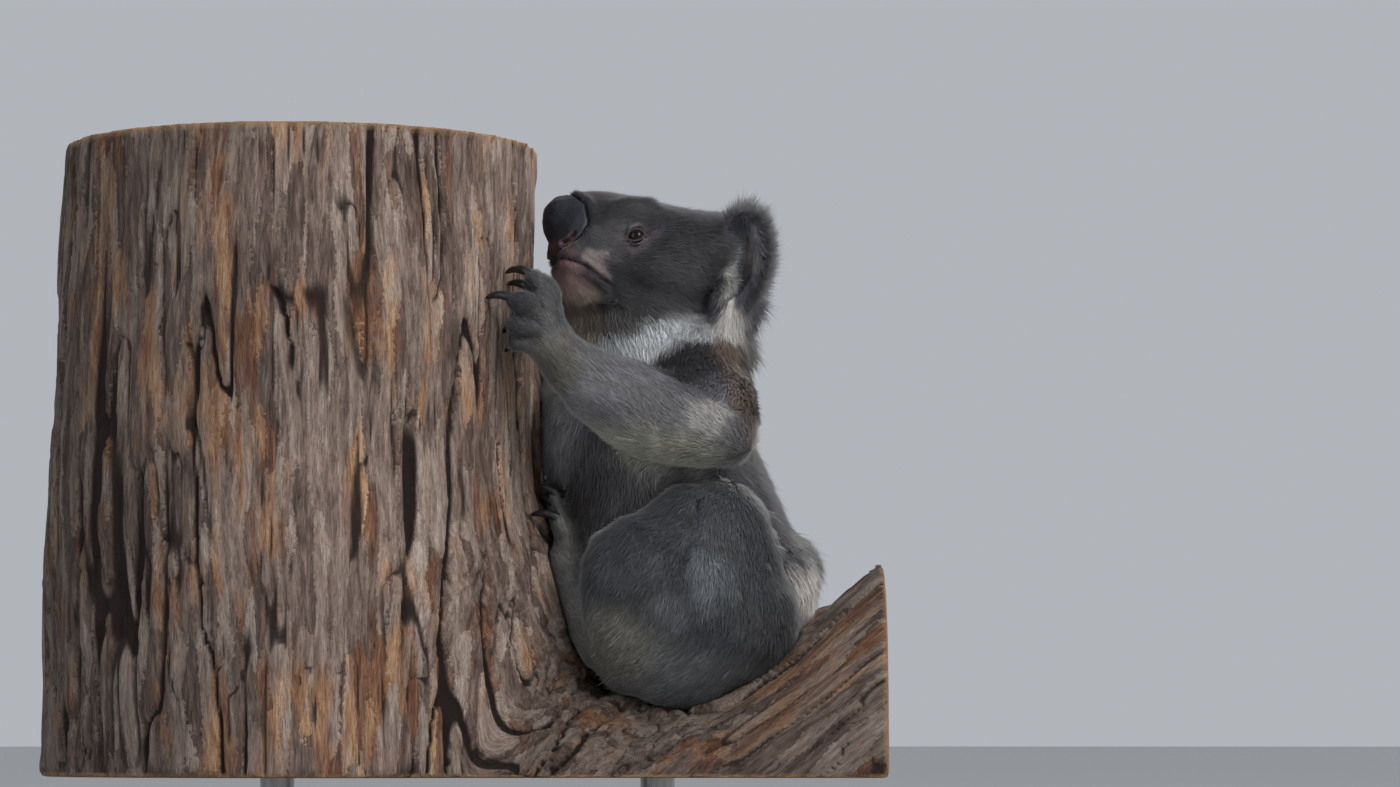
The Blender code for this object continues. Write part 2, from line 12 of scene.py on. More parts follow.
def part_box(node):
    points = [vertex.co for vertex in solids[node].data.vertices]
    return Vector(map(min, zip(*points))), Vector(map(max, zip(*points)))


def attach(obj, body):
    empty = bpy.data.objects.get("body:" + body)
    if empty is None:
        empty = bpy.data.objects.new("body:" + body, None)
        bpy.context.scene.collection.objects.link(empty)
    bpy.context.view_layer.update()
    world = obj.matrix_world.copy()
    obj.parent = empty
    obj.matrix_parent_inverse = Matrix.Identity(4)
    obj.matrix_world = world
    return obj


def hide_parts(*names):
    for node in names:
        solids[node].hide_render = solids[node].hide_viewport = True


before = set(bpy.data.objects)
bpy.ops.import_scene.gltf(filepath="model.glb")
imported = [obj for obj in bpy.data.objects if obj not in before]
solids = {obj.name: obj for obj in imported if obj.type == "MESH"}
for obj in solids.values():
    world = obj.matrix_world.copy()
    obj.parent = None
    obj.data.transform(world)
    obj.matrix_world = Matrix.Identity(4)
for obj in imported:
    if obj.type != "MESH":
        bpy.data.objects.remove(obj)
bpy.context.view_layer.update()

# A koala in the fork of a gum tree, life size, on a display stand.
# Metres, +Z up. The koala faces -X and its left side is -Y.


# ---------------------------------------------------------------- the hide
# The skin of the whole animal, tanned as one piece and drawn over the body form. It lies under
# the coat by the coat's own depth, so that the tips of the hair give the animal's outline.

SIDES = ("left", "right")
WHOLE_PARTS = ("head", "neck", "trunk")
PAIRED_PARTS = ("ear", "arm", "forearm", "hand", "thigh", "shank", "foot")
FLESH = WHOLE_PARTS + tuple(f"{part}_{side}" for part in PAIRED_PARTS for side in SIDES)
HIDE_GRID = 0.0035  # the hide's mesh before the face is made finer
# how far some parts are swollen at the shoulders and nape before all are melted together and sunk
# back, so that the folds between them fill softly
SWELL = {"neck": 0.0080, "arm": 0.0070, "trunk": 0.0060}
SHOULDER_LOW, SHOULDER_HIGH = 0.385, 0.410
NAPE_SWELL = 0.0060  # and so much more behind the head
NAPE_FRONT, NAPE_BACK = 0.170, 0.215
SEAM_OVERLAP = 0.0006  # how far the other parts run into each other
# rounds of evening out for each part, and for those that it doesn't name
EVENING_ROUNDS = {"head": 9, "hand": 4, "foot": 4, "ear": 5, "neck": 30, "trunk": 36}
EVENING_ROUNDS_LIMB = 30
EVEN_OUT, EVEN_BACK = 0.50, -0.47  # each round evens the form out and then swells it back
# the muscle at the root of an ear, between it, the head and the neck: its middle on the left, in
# shares of the box round the ear, and its half sizes
EAR_MUSCLE = ((0.30, 1.06, 0.16), (0.022, 0.022, 0.022))
# share of the furry ear that is hide: along its height, its breadth and its thickness
EAR_CORE = (0.84, 0.98, 0.80)
EAR_FORWARD = (-0.0075, 0, -0.0010)  # and how far it stands forward in its hair


def unit(vectors):
    """Vectors of length one."""
    vectors = np.asarray(vectors, float)
    return vectors / np.maximum(np.linalg.norm(vectors, axis=-1, keepdims=True), 1e-12)


def smooth(values, low, high):
    """A soft step from 0 at low to 1 at high."""
    t = np.clip((values - low) / (high - low), 0, 1)
    return t * t * (3 - 2 * t)


def noise(points, size, seed=0):
    """Soft random values between -1 and 1 that change over about that size."""
    place = points / size + seed * 17.31
    cell = np.floor(place).astype(np.int64)
    ease = place - cell
    ease = ease * ease * (3 - 2 * ease)
    total = np.zeros(len(points))
    for corner in itertools.product((0, 1), repeat=3):
        key = (cell + corner) @ np.array((73856093, 19349663, 83492791))
        key = (key ^ (key >> 13)) & 0x7FFFFFFF
        key = (key * 1103515245 + 12345) & 0x7FFFFFFF
        key = ((key ^ (key >> 15)) * 2246822519) & 0x7FFFFFFF
        weight = np.prod(np.where(corner, ease, 1 - ease), axis=1)
        total += weight * (key / 0x3FFFFFFF - 1)
    return total


def middle(name):
    low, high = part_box(name)
    return np.array((low + high) / 2)


def within(name, across, deep, high):
    """A point in the box of a solid, by shares of its sides."""
    low, top = (np.array(corner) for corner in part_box(name))
    return low + (top - low) * (across, deep, high)


def welded(name):
    """A solid's points and triangles, with the corners that its faces share joined."""
    bm = bmesh.new()
    bm.from_mesh(solids[name].data)
    bmesh.ops.remove_doubles(bm, verts=bm.verts, dist=1e-6)
    bm.verts.index_update()
    points = np.array([v.co for v in bm.verts])
    triangles = np.array([[v.index for v in f.verts] for f in bm.faces])
    bm.free()
    return points, triangles


def normals_of(points, triangles):
    a, b, c = (points[triangles[:, k]] for k in range(3))
    face = np.cross(b - a, c - a)
    total = np.zeros_like(points)
    for k, axis in itertools.product(range(3), range(3)):
        total[:, axis] += np.bincount(triangles[:, k], face[:, axis], len(points))
    return unit(total)


def joined(shapes):
    """Several lots of points and triangles as one."""
    points, triangles, start = [], [], 0
    for some_points, some_triangles in shapes:
        points.append(some_points)
        triangles.append(some_triangles + start)
        start += len(some_points)
    return np.concatenate(points), np.concatenate(triangles)


def shell(name, points, triangles):
    """An object made of triangles."""
    mesh = bpy.data.meshes.new(name)
    mesh.vertices.add(len(points))
    mesh.vertices.foreach_set("co", np.asarray(points, np.float32).ravel())
    mesh.loops.add(3 * len(triangles))
    mesh.loops.foreach_set("vertex_index", np.asarray(triangles, np.int32).ravel())
    mesh.polygons.add(len(triangles))
    mesh.polygons.foreach_set("loop_start", np.arange(0, 3 * len(triangles), 3, dtype=np.int32))
    mesh.update(calc_edges=True)
    obj = bpy.data.objects.new(name, mesh)
    bpy.context.scene.collection.objects.link(obj)
    return obj


def points_of(obj):
    flat = np.empty(3 * len(obj.data.vertices), np.float32)
    obj.data.vertices.foreach_get("co", flat)
    return flat.reshape(-1, 3).astype(float)


def set_points(obj, points):
    obj.data.vertices.foreach_set("co", np.asarray(points, np.float32).ravel())
    obj.data.update()


def edges_of(obj):
    flat = np.empty(2 * len(obj.data.edges), np.int32)
    obj.data.edges.foreach_get("vertices", flat)
    return flat.reshape(-1, 2)


def triangles_of(obj):
    flat = np.empty(3 * len(obj.data.polygons), np.int32)
    obj.data.polygons.foreach_get("vertices", flat)
    return flat.reshape(-1, 3)


def in_triangles(obj):
    """Cuts all the faces of an object into triangles."""
    bm = bmesh.new()
    bm.from_mesh(obj.data)
    bmesh.ops.triangulate(bm, faces=bm.faces)
    bm.to_mesh(obj.data)
    bm.free()


def evened(values, edges, share, rounds=1):
    """Moves each point's values towards its neighbours' mean by a share, several times over."""
    start, end = np.concatenate([edges, edges[:, ::-1]]).T
    count = len(values)
    neighbours = np.maximum(np.bincount(start, minlength=count), 1)
    values = values.astype(float)
    for _ in range(rounds):
        mean = [np.bincount(start, values[end, k], count) / neighbours for k in range(values.shape[1])]
        values = values + share * (np.stack(mean, 1) - values)
    return values


def eased(points, edges, share, where):
    """Points moved towards their neighbours' mean by a share, as far as where, 0 to 1, says."""
    return points + (evened(points, edges, share) - points) * where[:, None]


def melted(obj, grid):
    """Melts overlapping closed shapes into one even mesh."""
    remesh = obj.modifiers.new("melt", "REMESH")
    remesh.mode = "VOXEL"
    remesh.voxel_size = grid
    bpy.context.view_layer.update()
    mesh = bpy.data.meshes.new_from_object(obj.evaluated_get(bpy.context.evaluated_depsgraph_get()))
    obj.modifiers.clear()
    obj.data = mesh
    return obj


def ear_core(points):
    """The ear without its hair: smaller towards its root on the head, and thinner."""
    centre = points.mean(0)
    _, _, axes = np.linalg.svd(points - centre, full_matrices=False)
    inward = middle("head") - centre
    root = points[np.argmax(points @ inward)]
    shape = (points - centre) @ axes.T
    foot = (root - centre) @ axes.T * (0, 1, 0)
    shape = foot + (shape - foot) * EAR_CORE
    return centre + shape @ axes + EAR_FORWARD


def part_of(name):
    """The part that a solid is, without its side or number."""
    return name.split("_")[0]


def swelling(points, full):
    """How far points are swollen: fully at the shoulders and most at the nape, hardly below them."""
    nape = NAPE_SWELL * smooth(points[:, 0], NAPE_FRONT, NAPE_BACK) * (full > 2 * SEAM_OVERLAP)
    return SEAM_OVERLAP + (full + nape - SEAM_OVERLAP) * smooth(points[:, 2], SHOULDER_LOW, SHOULDER_HIGH)


def ear_muscle(side):
    """A rounded mass at the root of an ear."""
    (across, deep, high), half_sizes = EAR_MUSCLE
    bm = bmesh.new()
    bmesh.ops.create_icosphere(bm, subdivisions=3, radius=1)
    points = np.array([v.co for v in bm.verts]) * half_sizes
    triangles = np.array([[v.index for v in f.verts] for f in bm.faces])
    bm.free()
    return points + within("ear_" + side, across, deep if side == "left" else 1 - deep, high), triangles


def flesh_shapes():
    """The closed shapes that are melted into the hide."""
    for side in SIDES:
        yield ear_muscle(side)
    for name in FLESH:
        points, triangles = welded(name)
        if part_of(name) == "ear":
            yield ear_core(points), triangles
        else:
            out = swelling(points, SWELL.get(part_of(name), SEAM_OVERLAP))
            yield points + normals_of(points, triangles) * out[:, None], triangles


def nearest_solid(points):
    """The number in FLESH of the solid that each point lies nearest to."""
    shapes = [welded(name) for name in FLESH]
    all_points, all_triangles = joined(shapes)
    owner = np.repeat(np.arange(len(FLESH)), [len(triangles) for _, triangles in shapes])
    tree = BVHTree.FromPolygons(all_points.tolist(), all_triangles.tolist())
    return owner[[tree.find_nearest(point)[2] for point in points.tolist()]]


hide = melted(shell("koala_hide", *joined(flesh_shapes())), HIDE_GRID)
hide_points = points_of(hide)
hide_edges = edges_of(hide)
part_rounds = np.array([EVENING_ROUNDS.get(part_of(name), EVENING_ROUNDS_LIMB) for name in FLESH])
rounds_wanted = part_rounds[nearest_solid(hide_points)].astype(float)[:, None]
rounds_wanted = evened(rounds_wanted, hide_edges, 0.5, 8)
for turn in range(int(part_rounds.max())):
    round_form = evened(evened(hide_points, hide_edges, EVEN_OUT), hide_edges, EVEN_BACK)
    hide_points += (round_form - hide_points) * (rounds_wanted > turn)
set_points(hide, hide_points)

# an unwrap of the hide's own shape: the coat's colours are kept by where each hair is rooted on it
bpy.context.view_layer.objects.active = hide
hide.select_set(True)
hide.data.uv_layers.new(name="OFBake")
bpy.ops.object.mode_set(mode="EDIT")
bpy.ops.mesh.select_all(action="SELECT")
bpy.ops.uv.smart_project(angle_limit=math.radians(66), island_margin=0.002)
bpy.ops.object.mode_set(mode="OBJECT")
hide.select_set(False)

# The head's own axes, from its eyes: forward, left and up
EYE_FORWARD = 0.0715
EYE_UP = 0.0080
eye_middle = {side: middle("eye_" + side) for side in SIDES}
head_left = unit(eye_middle["left"] - eye_middle["right"])
head_forward = unit((head_left[1], -head_left[0], 0))
head_up = np.cross(head_forward, head_left)
head_axes = np.stack([head_forward, head_left, head_up])
head_middle = (eye_middle["left"] + eye_middle["right"]) / 2
head_middle = head_middle - head_forward * EYE_FORWARD - head_up * EYE_UP


def in_head(points):
    """Points measured from the head's middle: forward, left, up."""
    return (points - head_middle) @ head_axes.T


def finer(obj, wanted):
    """Cuts the faces of the hide in four wherever all their corners are wanted."""
    bm = bmesh.new()
    bm.from_mesh(obj.data)
    chosen = wanted(np.array([v.co for v in bm.verts]))
    edges = {e for f in bm.faces if all(chosen[v.index] for v in f.verts) for e in f.edges}
    bmesh.ops.subdivide_edges(bm, edges=list(edges), cuts=1, use_grid_fill=True)
    bm.to_mesh(obj.data)
    bm.free()


# where the hide's mesh is finer, measured from the head's middle: the whole face, and once more
# round the eyes and the mouth
FACE_BACK, FACE_FOOT, FACE_HALF_WIDTH = -0.030, -0.052, 0.075
EYE_SURROUND = 0.019
MOUTH_BACK, MOUTH_FOOT = 0.088, -0.045


def on_the_face(points):
    place = in_head(points)
    return (place[:, 0] > FACE_BACK) & (place[:, 2] > FACE_FOOT) & (np.abs(place[:, 1]) < FACE_HALF_WIDTH)


def round_eyes_and_mouth(points):
    place = in_head(points)
    near = [np.linalg.norm(points - eye_middle[side], axis=1) < EYE_SURROUND for side in SIDES]
    return near[0] | near[1] | ((place[:, 0] > MOUTH_BACK) & (place[:, 2] > MOUTH_FOOT))


finer(hide, on_the_face)
finer(hide, round_eyes_and_mouth)
in_triangles(hide)

hide_points = points_of(hide)
hide_edges = edges_of(hide)
hide_triangles = triangles_of(hide)
face_share = on_the_face(hide_points)
FACE_ROUNDS = 5
for _ in range(FACE_ROUNDS):
    hide_points = eased(hide_points, hide_edges, 0.50, face_share)
    hide_points = eased(hide_points, hide_edges, -0.45, face_share)

# How much of each part of the body a point belongs to, blended where parts meet
BLEND_ROUNDS = 26
belongs = np.eye(len(FLESH))[nearest_solid(hide_points)]
belongs = evened(belongs, hide_edges, 0.6, BLEND_ROUNDS)


def share_of(belongs, *parts):
    """How much each point belongs to any of these parts, on both sides together."""
    return sum(belongs[:, i] for i, name in enumerate(FLESH) if part_of(name) in parts)


# The coat on each part: length of hair, its lift from the hide in degrees, a tuft's width, and
# tufts to the square centimetre
COAT = {
    "head": (0.0085, 19, 0.00072, 150),
    "neck": (0.0180, 21, 0.00090, 98),
    "trunk": (0.0150, 18, 0.00110, 70),
    "ear": (0.0088, 24, 0.00056, 220),
    "arm": (0.0120, 18, 0.00105, 84),
    "forearm": (0.0090, 17, 0.00086, 100),
    "hand": (0.0046, 16, 0.00070, 125),
    "thigh": (0.0095, 16, 0.00092, 88),
    "shank": (0.0105, 16, 0.00100, 78),
    "foot": (0.0046, 16, 0.00075, 78),
}
FACE_HAIR = 0.0034  # length of hair round the nose and mouth
FACE_TAPER = (0.022, 0.088)  # from the nose's middle to where the hair is shortest, and full again
FACE_SLIMMER, FACE_DENSER = 0.35, 0.55  # how much slimmer and denser the face's tufts are
DEPTH_OF_LIFT = 0.85  # the coat's depth, as a share of what its hair would stand if straight

coat_rows = np.array([COAT[part_of(name)] for name in FLESH])
hair_length, hair_lift, tuft_width, tuft_count = (belongs @ coat_rows).T
nose_middle = middle("nose")
from_nose = np.linalg.norm(hide_points - nose_middle, axis=1)
on_head = share_of(belongs, "head")
on_ears = share_of(belongs, "ear")
on_neck = share_of(belongs, "neck")
face_taper = on_head * (1 - smooth(from_nose, *FACE_TAPER))
hair_length = hair_length * (1 - face_taper) + FACE_HAIR * face_taper
tuft_width = tuft_width * (1 - FACE_SLIMMER * face_taper)
tuft_count = tuft_count * (1 + FACE_DENSER * face_taper)
coat_depth = DEPTH_OF_LIFT * hair_length * np.sin(np.radians(hair_lift))
coat_depth = coat_depth * (1 - 0.9 * on_ears)  # the ears' cores are already thin


def surface_of(name):
    """A solid's surface, to measure distances from."""
    mesh = solids[name].data
    return BVHTree.FromPolygons([v.co[:] for v in mesh.vertices], [tuple(p.vertices) for p in mesh.polygons])


def gaps(surface, points):
    """How far each point lies from a surface."""
    return np.array([surface.find_nearest(point)[3] for point in points.tolist()])


nose_surface = surface_of("nose")
beside_leather = smooth(gaps(nose_surface, hide_points), 0.001, 0.007)
coat_depth = coat_depth * np.where(on_head > 0.5, 0.45 + 0.55 * beside_leather, 1)
full_swell = belongs @ np.array([SWELL.get(part_of(name), SEAM_OVERLAP) for name in FLESH])
sinking = coat_depth + swelling(hide_points, full_swell)
SINK_STEPS = 10
SHORT_COAT = 0.0018  # the hide isn't evened as it sinks where the coat is no deeper than this
for _ in range(SINK_STEPS):
    hide_points -= normals_of(hide_points, hide_triangles) * (sinking / SINK_STEPS)[:, None]
    hide_points = eased(hide_points, hide_edges, 0.25, coat_depth > SHORT_COAT)

# The hands' digits: a groove between each and the next, from the palm to the claws
PALM = (0.62, 0.45, 0.30)  # in shares of the box round the left hand
DIGIT_GROOVE = 0.0042
GROOVE_WIDTH = 0.0050
DIGIT_RADIUS = 0.020  # no groove lies further than this from the middle of a digit


def to_left(points):
    """Points with those of the right side mirrored onto the left."""
    return np.where(points[:, 1:2] > 0, points * (1, -1, 1), points)


def beside_span(points, first, second, furthest=1.0):
    """How far along a span points lie, 0 at its start and 1 at its end, and their offsets from it."""
    span = second - first
    t = np.clip((points - first) @ span / (span @ span), 0, furthest)
    return t, points - first - t[:, None] * span


def groove_share(points):
    """1 along the grooves between the digits, fading to 0 on the digits and on the palm."""
    left_side = to_left(points)
    palm = within("hand_left", *PALM)
    away, out = [], []
    for number in range(1, 6):
        claw_points, _ = welded(f"claw_hand_left_{number}")
        end = claw_points[np.argmin(np.linalg.norm(claw_points - palm, axis=1))]
        t, offset = beside_span(left_side, palm, end, 1.3)
        away.append(np.linalg.norm(offset, axis=1))
        out.append(t)
    order = np.argsort(away, axis=0)
    first, second = np.take_along_axis(np.array(away), order[:2], axis=0)
    reach = np.take_along_axis(np.array(out), order[:1], axis=0)[0]
    between = 1 - smooth(second - first, 0, GROOVE_WIDTH)
    return between * smooth(reach, 0.35, 0.60) * (first < DIGIT_RADIUS)


grooved = groove_share(hide_points) * share_of(belongs, "hand")
hide_points -= normals_of(hide_points, hide_triangles) * (DIGIT_GROOVE * grooved)[:, None]

# The ears' own axes: up, back, and out of the hollow
EAR_AXES = {}
for side in SIDES:
    ear_points, _ = welded("ear_" + side)
    ear_centre = (ear_points.max(0) + ear_points.min(0)) / 2
    _, _, ear_axis = np.linalg.svd(ear_points - ear_points.mean(0), full_matrices=False)
    outward = head_forward + head_left * (1 if side == "left" else -1)
    upright, broad, open_way = ear_axis
    upright = upright * np.sign(upright @ head_up)
    broad = broad * np.sign(-(broad @ (middle("head") - ear_centre)))
    open_way = open_way * np.sign(open_way @ outward)
    frame_of_ear = np.stack([upright, broad, open_way])
    half_sizes = np.abs((ear_points - ear_centre) @ frame_of_ear.T).max(0)
    EAR_AXES[side] = (ear_centre, frame_of_ear, half_sizes)


def ear_place(points, side):
    """Where points lie in the ear: up, back and out of its hollow, in shares of its half sizes."""
    centre, axes, half_sizes = EAR_AXES[side]
    return (points - centre) @ axes.T / half_sizes


# The ear's hollow, on the side that it opens to, full as far as the first share of the ear's half
# size and gone at the second
EAR_HOLLOW = 0.0085
HOLLOW_SPREAD = (0.35, 0.86)
for side in SIDES:
    place = ear_place(hide_points, side)
    inside = 1 - smooth(np.hypot(place[:, 0], place[:, 1] + 0.05), *HOLLOW_SPREAD)
    inside = inside * smooth(place[:, 2], -0.1, 0.4) * belongs[:, FLESH.index("ear_" + side)]
    hide_points -= EAR_AXES[side][1][2] * (EAR_HOLLOW * inside)[:, None]

# Folds where a limb lies against the body or another limb
FOLD_DEPTH = 0.0045
FORE_LIMB = ("arm", "forearm", "hand")
HIND_LIMB = ("thigh", "shank", "foot")
BARREL = ("trunk", "neck")


def fold_share(belongs):
    """1 where the hind limb meets the fore limb or the body, fading to 0 beside the fold."""
    fore, hind, barrel = (share_of(belongs, *parts) for parts in (FORE_LIMB, HIND_LIMB, BARREL))
    return smooth(4 * (fore * hind + 0.8 * hind * barrel), 0.35, 0.95)


folded = fold_share(belongs)
hide_points -= normals_of(hide_points, hide_triangles) * (FOLD_DEPTH * folded)[:, None]

# The throat and the nape: the head, the neck and the shoulders run into each other
THROAT_ROUNDS = 24
NAPE_ROUNDS = 60
NAPE_SETS_IN = (0.180, 0.210)  # how far back the nape's evening starts, and is full
NAPE_FOOT = (0.375, 0.395)  # the heights over which it starts, and over which it ends
NAPE_TOP = (0.450, 0.475)
throat = np.clip(4 * on_head * on_neck, 0, 1)
neck_edge = np.clip(5 * on_neck * (1 - on_neck), 0, 1) * (hide_points[:, 0] > NAPE_FRONT)
throat = np.maximum(throat, neck_edge)
behind = smooth(hide_points[:, 0], *NAPE_SETS_IN) * smooth(hide_points[:, 2], *NAPE_FOOT)
behind = behind * (1 - smooth(hide_points[:, 2], *NAPE_TOP)) * (1 - on_head) * (1 - on_ears)
for rounds, where in ((THROAT_ROUNDS, throat), (NAPE_ROUNDS, behind)):
    for _ in range(rounds):
        hide_points = eased(hide_points, hide_edges, 0.5, where)

# The eyes' own axes: towards the nose, up, and outward
EYE_RADIUS = 0.0083
EYE_LOOKS = (0.34, 0.93, 0.10)  # forward, outward, up
eye_axes = {}
for side, sign in (("left", 1), ("right", -1)):
    looks = unit(np.array((EYE_LOOKS[0], sign * EYE_LOOKS[1], EYE_LOOKS[2])) @ head_axes)
    towards_nose = unit(head_forward - (head_forward @ looks) * looks)
    above = unit(head_up - (head_up @ looks) * looks - (head_up @ towards_nose) * towards_nose)
    eye_axes[side] = np.stack([towards_nose, above, looks])

LID_OPENING = (0.0066, 0.0050)  # half width and half height of the opening
LID_SLANT = math.radians(-8)
LID_THICKNESS = 0.0009
LID_SOFTNESS = 0.0014  # the rounding of the fold where a lid meets the brow or the cheek
LID_BLEND = (0.0095, 0.0145)  # from the eye's axis to where the lids start to fade, and end
SOCKET_DEPTH = 0.0022  # how far under the eyeball's surface the hide lies within the opening


def opening_share(along, above):
    """1 on the edge of the lids' opening, less inside it and more outside it."""
    turned = along * math.cos(LID_SLANT) + above * math.sin(LID_SLANT)
    risen = above * math.cos(LID_SLANT) - along * math.sin(LID_SLANT)
    return np.hypot(turned / LID_OPENING[0], risen / LID_OPENING[1])


eye_bare = np.zeros(len(hide_points))
for side in SIDES:
    place = (hide_points - eye_middle[side]) @ eye_axes[side].T
    along, above, out = place.T
    from_axis = np.hypot(along, above)
    near = (from_axis < LID_BLEND[1]) & (out > -0.006)
    # the lid domes over the eyeball, and its skin runs softly into the hide beside it
    ball = EYE_RADIUS + LID_THICKNESS
    dome = np.sqrt(np.maximum(ball**2 - from_axis**2, 0)) - 3 * np.maximum(from_axis - 0.92 * ball, 0)
    share = opening_share(along, above)
    over_ball = LID_SOFTNESS * np.logaddexp(out / LID_SOFTNESS, dome / LID_SOFTNESS)
    beside_ball = LID_SOFTNESS * np.logaddexp(out / LID_SOFTNESS, 0 * out - 2)
    lid = np.where(dome > 0, over_ball, np.maximum(out, beside_ball))
    raised = out + (lid - out) * (1 - smooth(from_axis, *LID_BLEND))
    inside = 1 - smooth(share, 0.86, 1.0)
    hidden = np.sqrt(np.maximum(EYE_RADIUS**2 - from_axis**2, 0)) - SOCKET_DEPTH
    raised = raised + (hidden - raised) * inside
    hide_points[near] += ((raised - out)[:, None] * eye_axes[side][2])[near]
    eye_bare = np.where(near, np.maximum(eye_bare, 1 - smooth(share, 1.15, 1.55)), eye_bare)

# The mouth: forward and up along its line from the middle of the lips to the corner
MOUTH_LINE = (
    (0.150, -0.0020), (0.130, -0.0040), (0.123, -0.0080),
    (0.113, -0.0130), (0.104, -0.0195), (0.094, -0.0280),
)
# the forms that follow it: how far above it each runs, its width, and its rise from the hide
MOUTH_CLEFT = (0.0, 0.0012, -0.0026)
UPPER_LIP = (0.0042, 0.0030, 0.0011)
LOWER_LIP = (-0.0048, 0.0036, 0.0010)
# the fold of the cheek behind the corner of the mouth: how far forward, its width and its rise
CHEEK_FOLD = (0.0925, 0.0030, -0.0016)
mouth_forward, mouth_up = np.array(MOUTH_LINE)[::-1].T


def above_mouth(place):
    """How far places in the head lie above the mouth's line."""
    return place[:, 2] - np.interp(place[:, 0], mouth_forward, mouth_up)


def ridge_share(values, middle, width):
    """1 along the middle of a soft ridge or groove, fading to 0 over its width on both sides."""
    return np.exp(-(((values - middle) / width) ** 2))


face_place = in_head(hide_points)
over_mouth = above_mouth(face_place)
at_mouth = smooth(face_place[:, 0], 0.091, 0.103) * on_head
hide_normals = normals_of(hide_points, hide_triangles)
moved = np.zeros(len(hide_points))
for from_line, wide, rise in (MOUTH_CLEFT, UPPER_LIP, LOWER_LIP):
    moved += rise * ridge_share(over_mouth, from_line, wide) * at_mouth
cleft = ridge_share(over_mouth, *MOUTH_CLEFT[:2]) * at_mouth
cheek_fold = ridge_share(face_place[:, 0], *CHEEK_FOLD[:2]) * on_head
cheek_fold = cheek_fold * smooth(over_mouth, -0.034, -0.022) * (1 - smooth(over_mouth, -0.004, 0.004))
hide_points += hide_normals * (moved + CHEEK_FOLD[2] * cheek_fold)[:, None]

# The bridge's soft fold over the top of the nose leather: how far from the leather its crest
# runs, its width and its height
BRIDGE_FOLD = (0.0045, 0.0032, 0.0024)
leather_gap = gaps(nose_surface, hide_points)
fold = ridge_share(leather_gap, *BRIDGE_FOLD[:2]) * smooth(face_place[:, 2], 0.022, 0.038) * on_head
hide_points += normals_of(hide_points, hide_triangles) * (BRIDGE_FOLD[2] * fold)[:, None]

# Creases in the haunch, where the loose hide folds: shares of the thigh's box, on the left side
CREASES = (
    ((0.55, 0.26, 0.83), (0.50, 0.08, 0.62), (0.48, 0.03, 0.54)),
    ((0.83, 0.97, 0.87), (0.88, 0.43, 0.66), (0.85, 0.35, 0.58)),
)
CREASE_CORE = 0.0012  # the half width of a crease's bottom
CREASE_WIDTH = 0.0030  # and of each side
CREASE_DEPTH = 0.0046
FROM_THE_SIDE = (1, 0.08, 1)  # distances from a crease are measured nearly flat, as from the side


def crease_share(points):
    """1 along the haunch's creases, on either side of the body, fading to 0 beside them."""
    left_side = to_left(points) + 0.004 * np.stack([noise(points, 0.016, seed) for seed in (61, 62, 63)], 1)
    total = np.zeros(len(points))
    for crease in CREASES:
        line = np.array([within("thigh_left", *shares) for shares in crease])
        for first, second in itertools.pairwise(line):
            _, offset = beside_span(left_side, first, second)
            away = np.linalg.norm(offset * FROM_THE_SIDE, axis=1)
            total = np.maximum(total, 1 - smooth(away - CREASE_CORE, 0, CREASE_WIDTH))
    return total


creased = crease_share(hide_points)
hide_points -= normals_of(hide_points, hide_triangles) * (CREASE_DEPTH * creased)[:, None]
set_points(hide, hide_points)
hide_normals = normals_of(hide_points, hide_triangles)
hide.data.shade_smooth()


def tint(red, green, blue):
    """A display colour, 0 to 255, as the linear colour that a shader takes."""
    share = np.array((red, green, blue), float) / 255
    return np.where(share <= 0.04045, share / 12.92, ((share + 0.055) / 1.055) ** 2.4)


# The markings, with painted shade and painted light among them: the hide and the hair on it take
# their colour from the same rule. First comes each part's own colour, then the patches laid over it
PART_COLOURS = {
    "head": tint(53, 52, 56),
    "neck": tint(92, 89, 88),
    "trunk": tint(76, 74, 79),
    "ear": tint(78, 78, 86),
    "arm": tint(92, 92, 99),
    "forearm": tint(107, 106, 109),
    "hand": tint(86, 86, 88),
    "thigh": tint(61, 63, 67),
    "shank": tint(90, 92, 94),
    "foot": tint(112, 111, 108),
}
# patches of the head: forward, outward, up; reach along each; colour; strength
HEAD_PATCHES = (
    ((0.104, 0.036, 0.006), (0.034, 0.028, 0.024), tint(80, 78, 82), 0.9),
    ((0.085, 0.000, 0.052), (0.055, 0.034, 0.024), tint(80, 76, 79), 0.9),
    ((0.010, 0.000, 0.046), (0.050, 0.050, 0.030), tint(80, 77, 80), 0.7),
    ((0.079, 0.048, 0.006), (0.023, 0.024, 0.017), tint(106, 96, 102), 0.8),
    ((0.112, 0.034, 0.016), (0.013, 0.016, 0.014), tint(60, 60, 66), 0.8),
    ((0.126, 0.022, -0.001), (0.012, 0.016, 0.007), tint(116, 92, 92), 0.9),
    ((0.110, 0.034, -0.005), (0.012, 0.014, 0.010), tint(152, 138, 135), 0.9),
    ((0.045, 0.056, -0.032), (0.058, 0.030, 0.026), tint(61, 59, 63), 0.9),
    ((0.122, 0.000, -0.024), (0.030, 0.046, 0.026), tint(168, 138, 137), 1.0),
    ((0.112, 0.000, -0.044), (0.030, 0.042, 0.024), tint(134, 122, 106), 0.9),
    ((-0.020, 0.000, 0.010), (0.045, 0.060, 0.036), tint(80, 75, 77), 0.7),
)
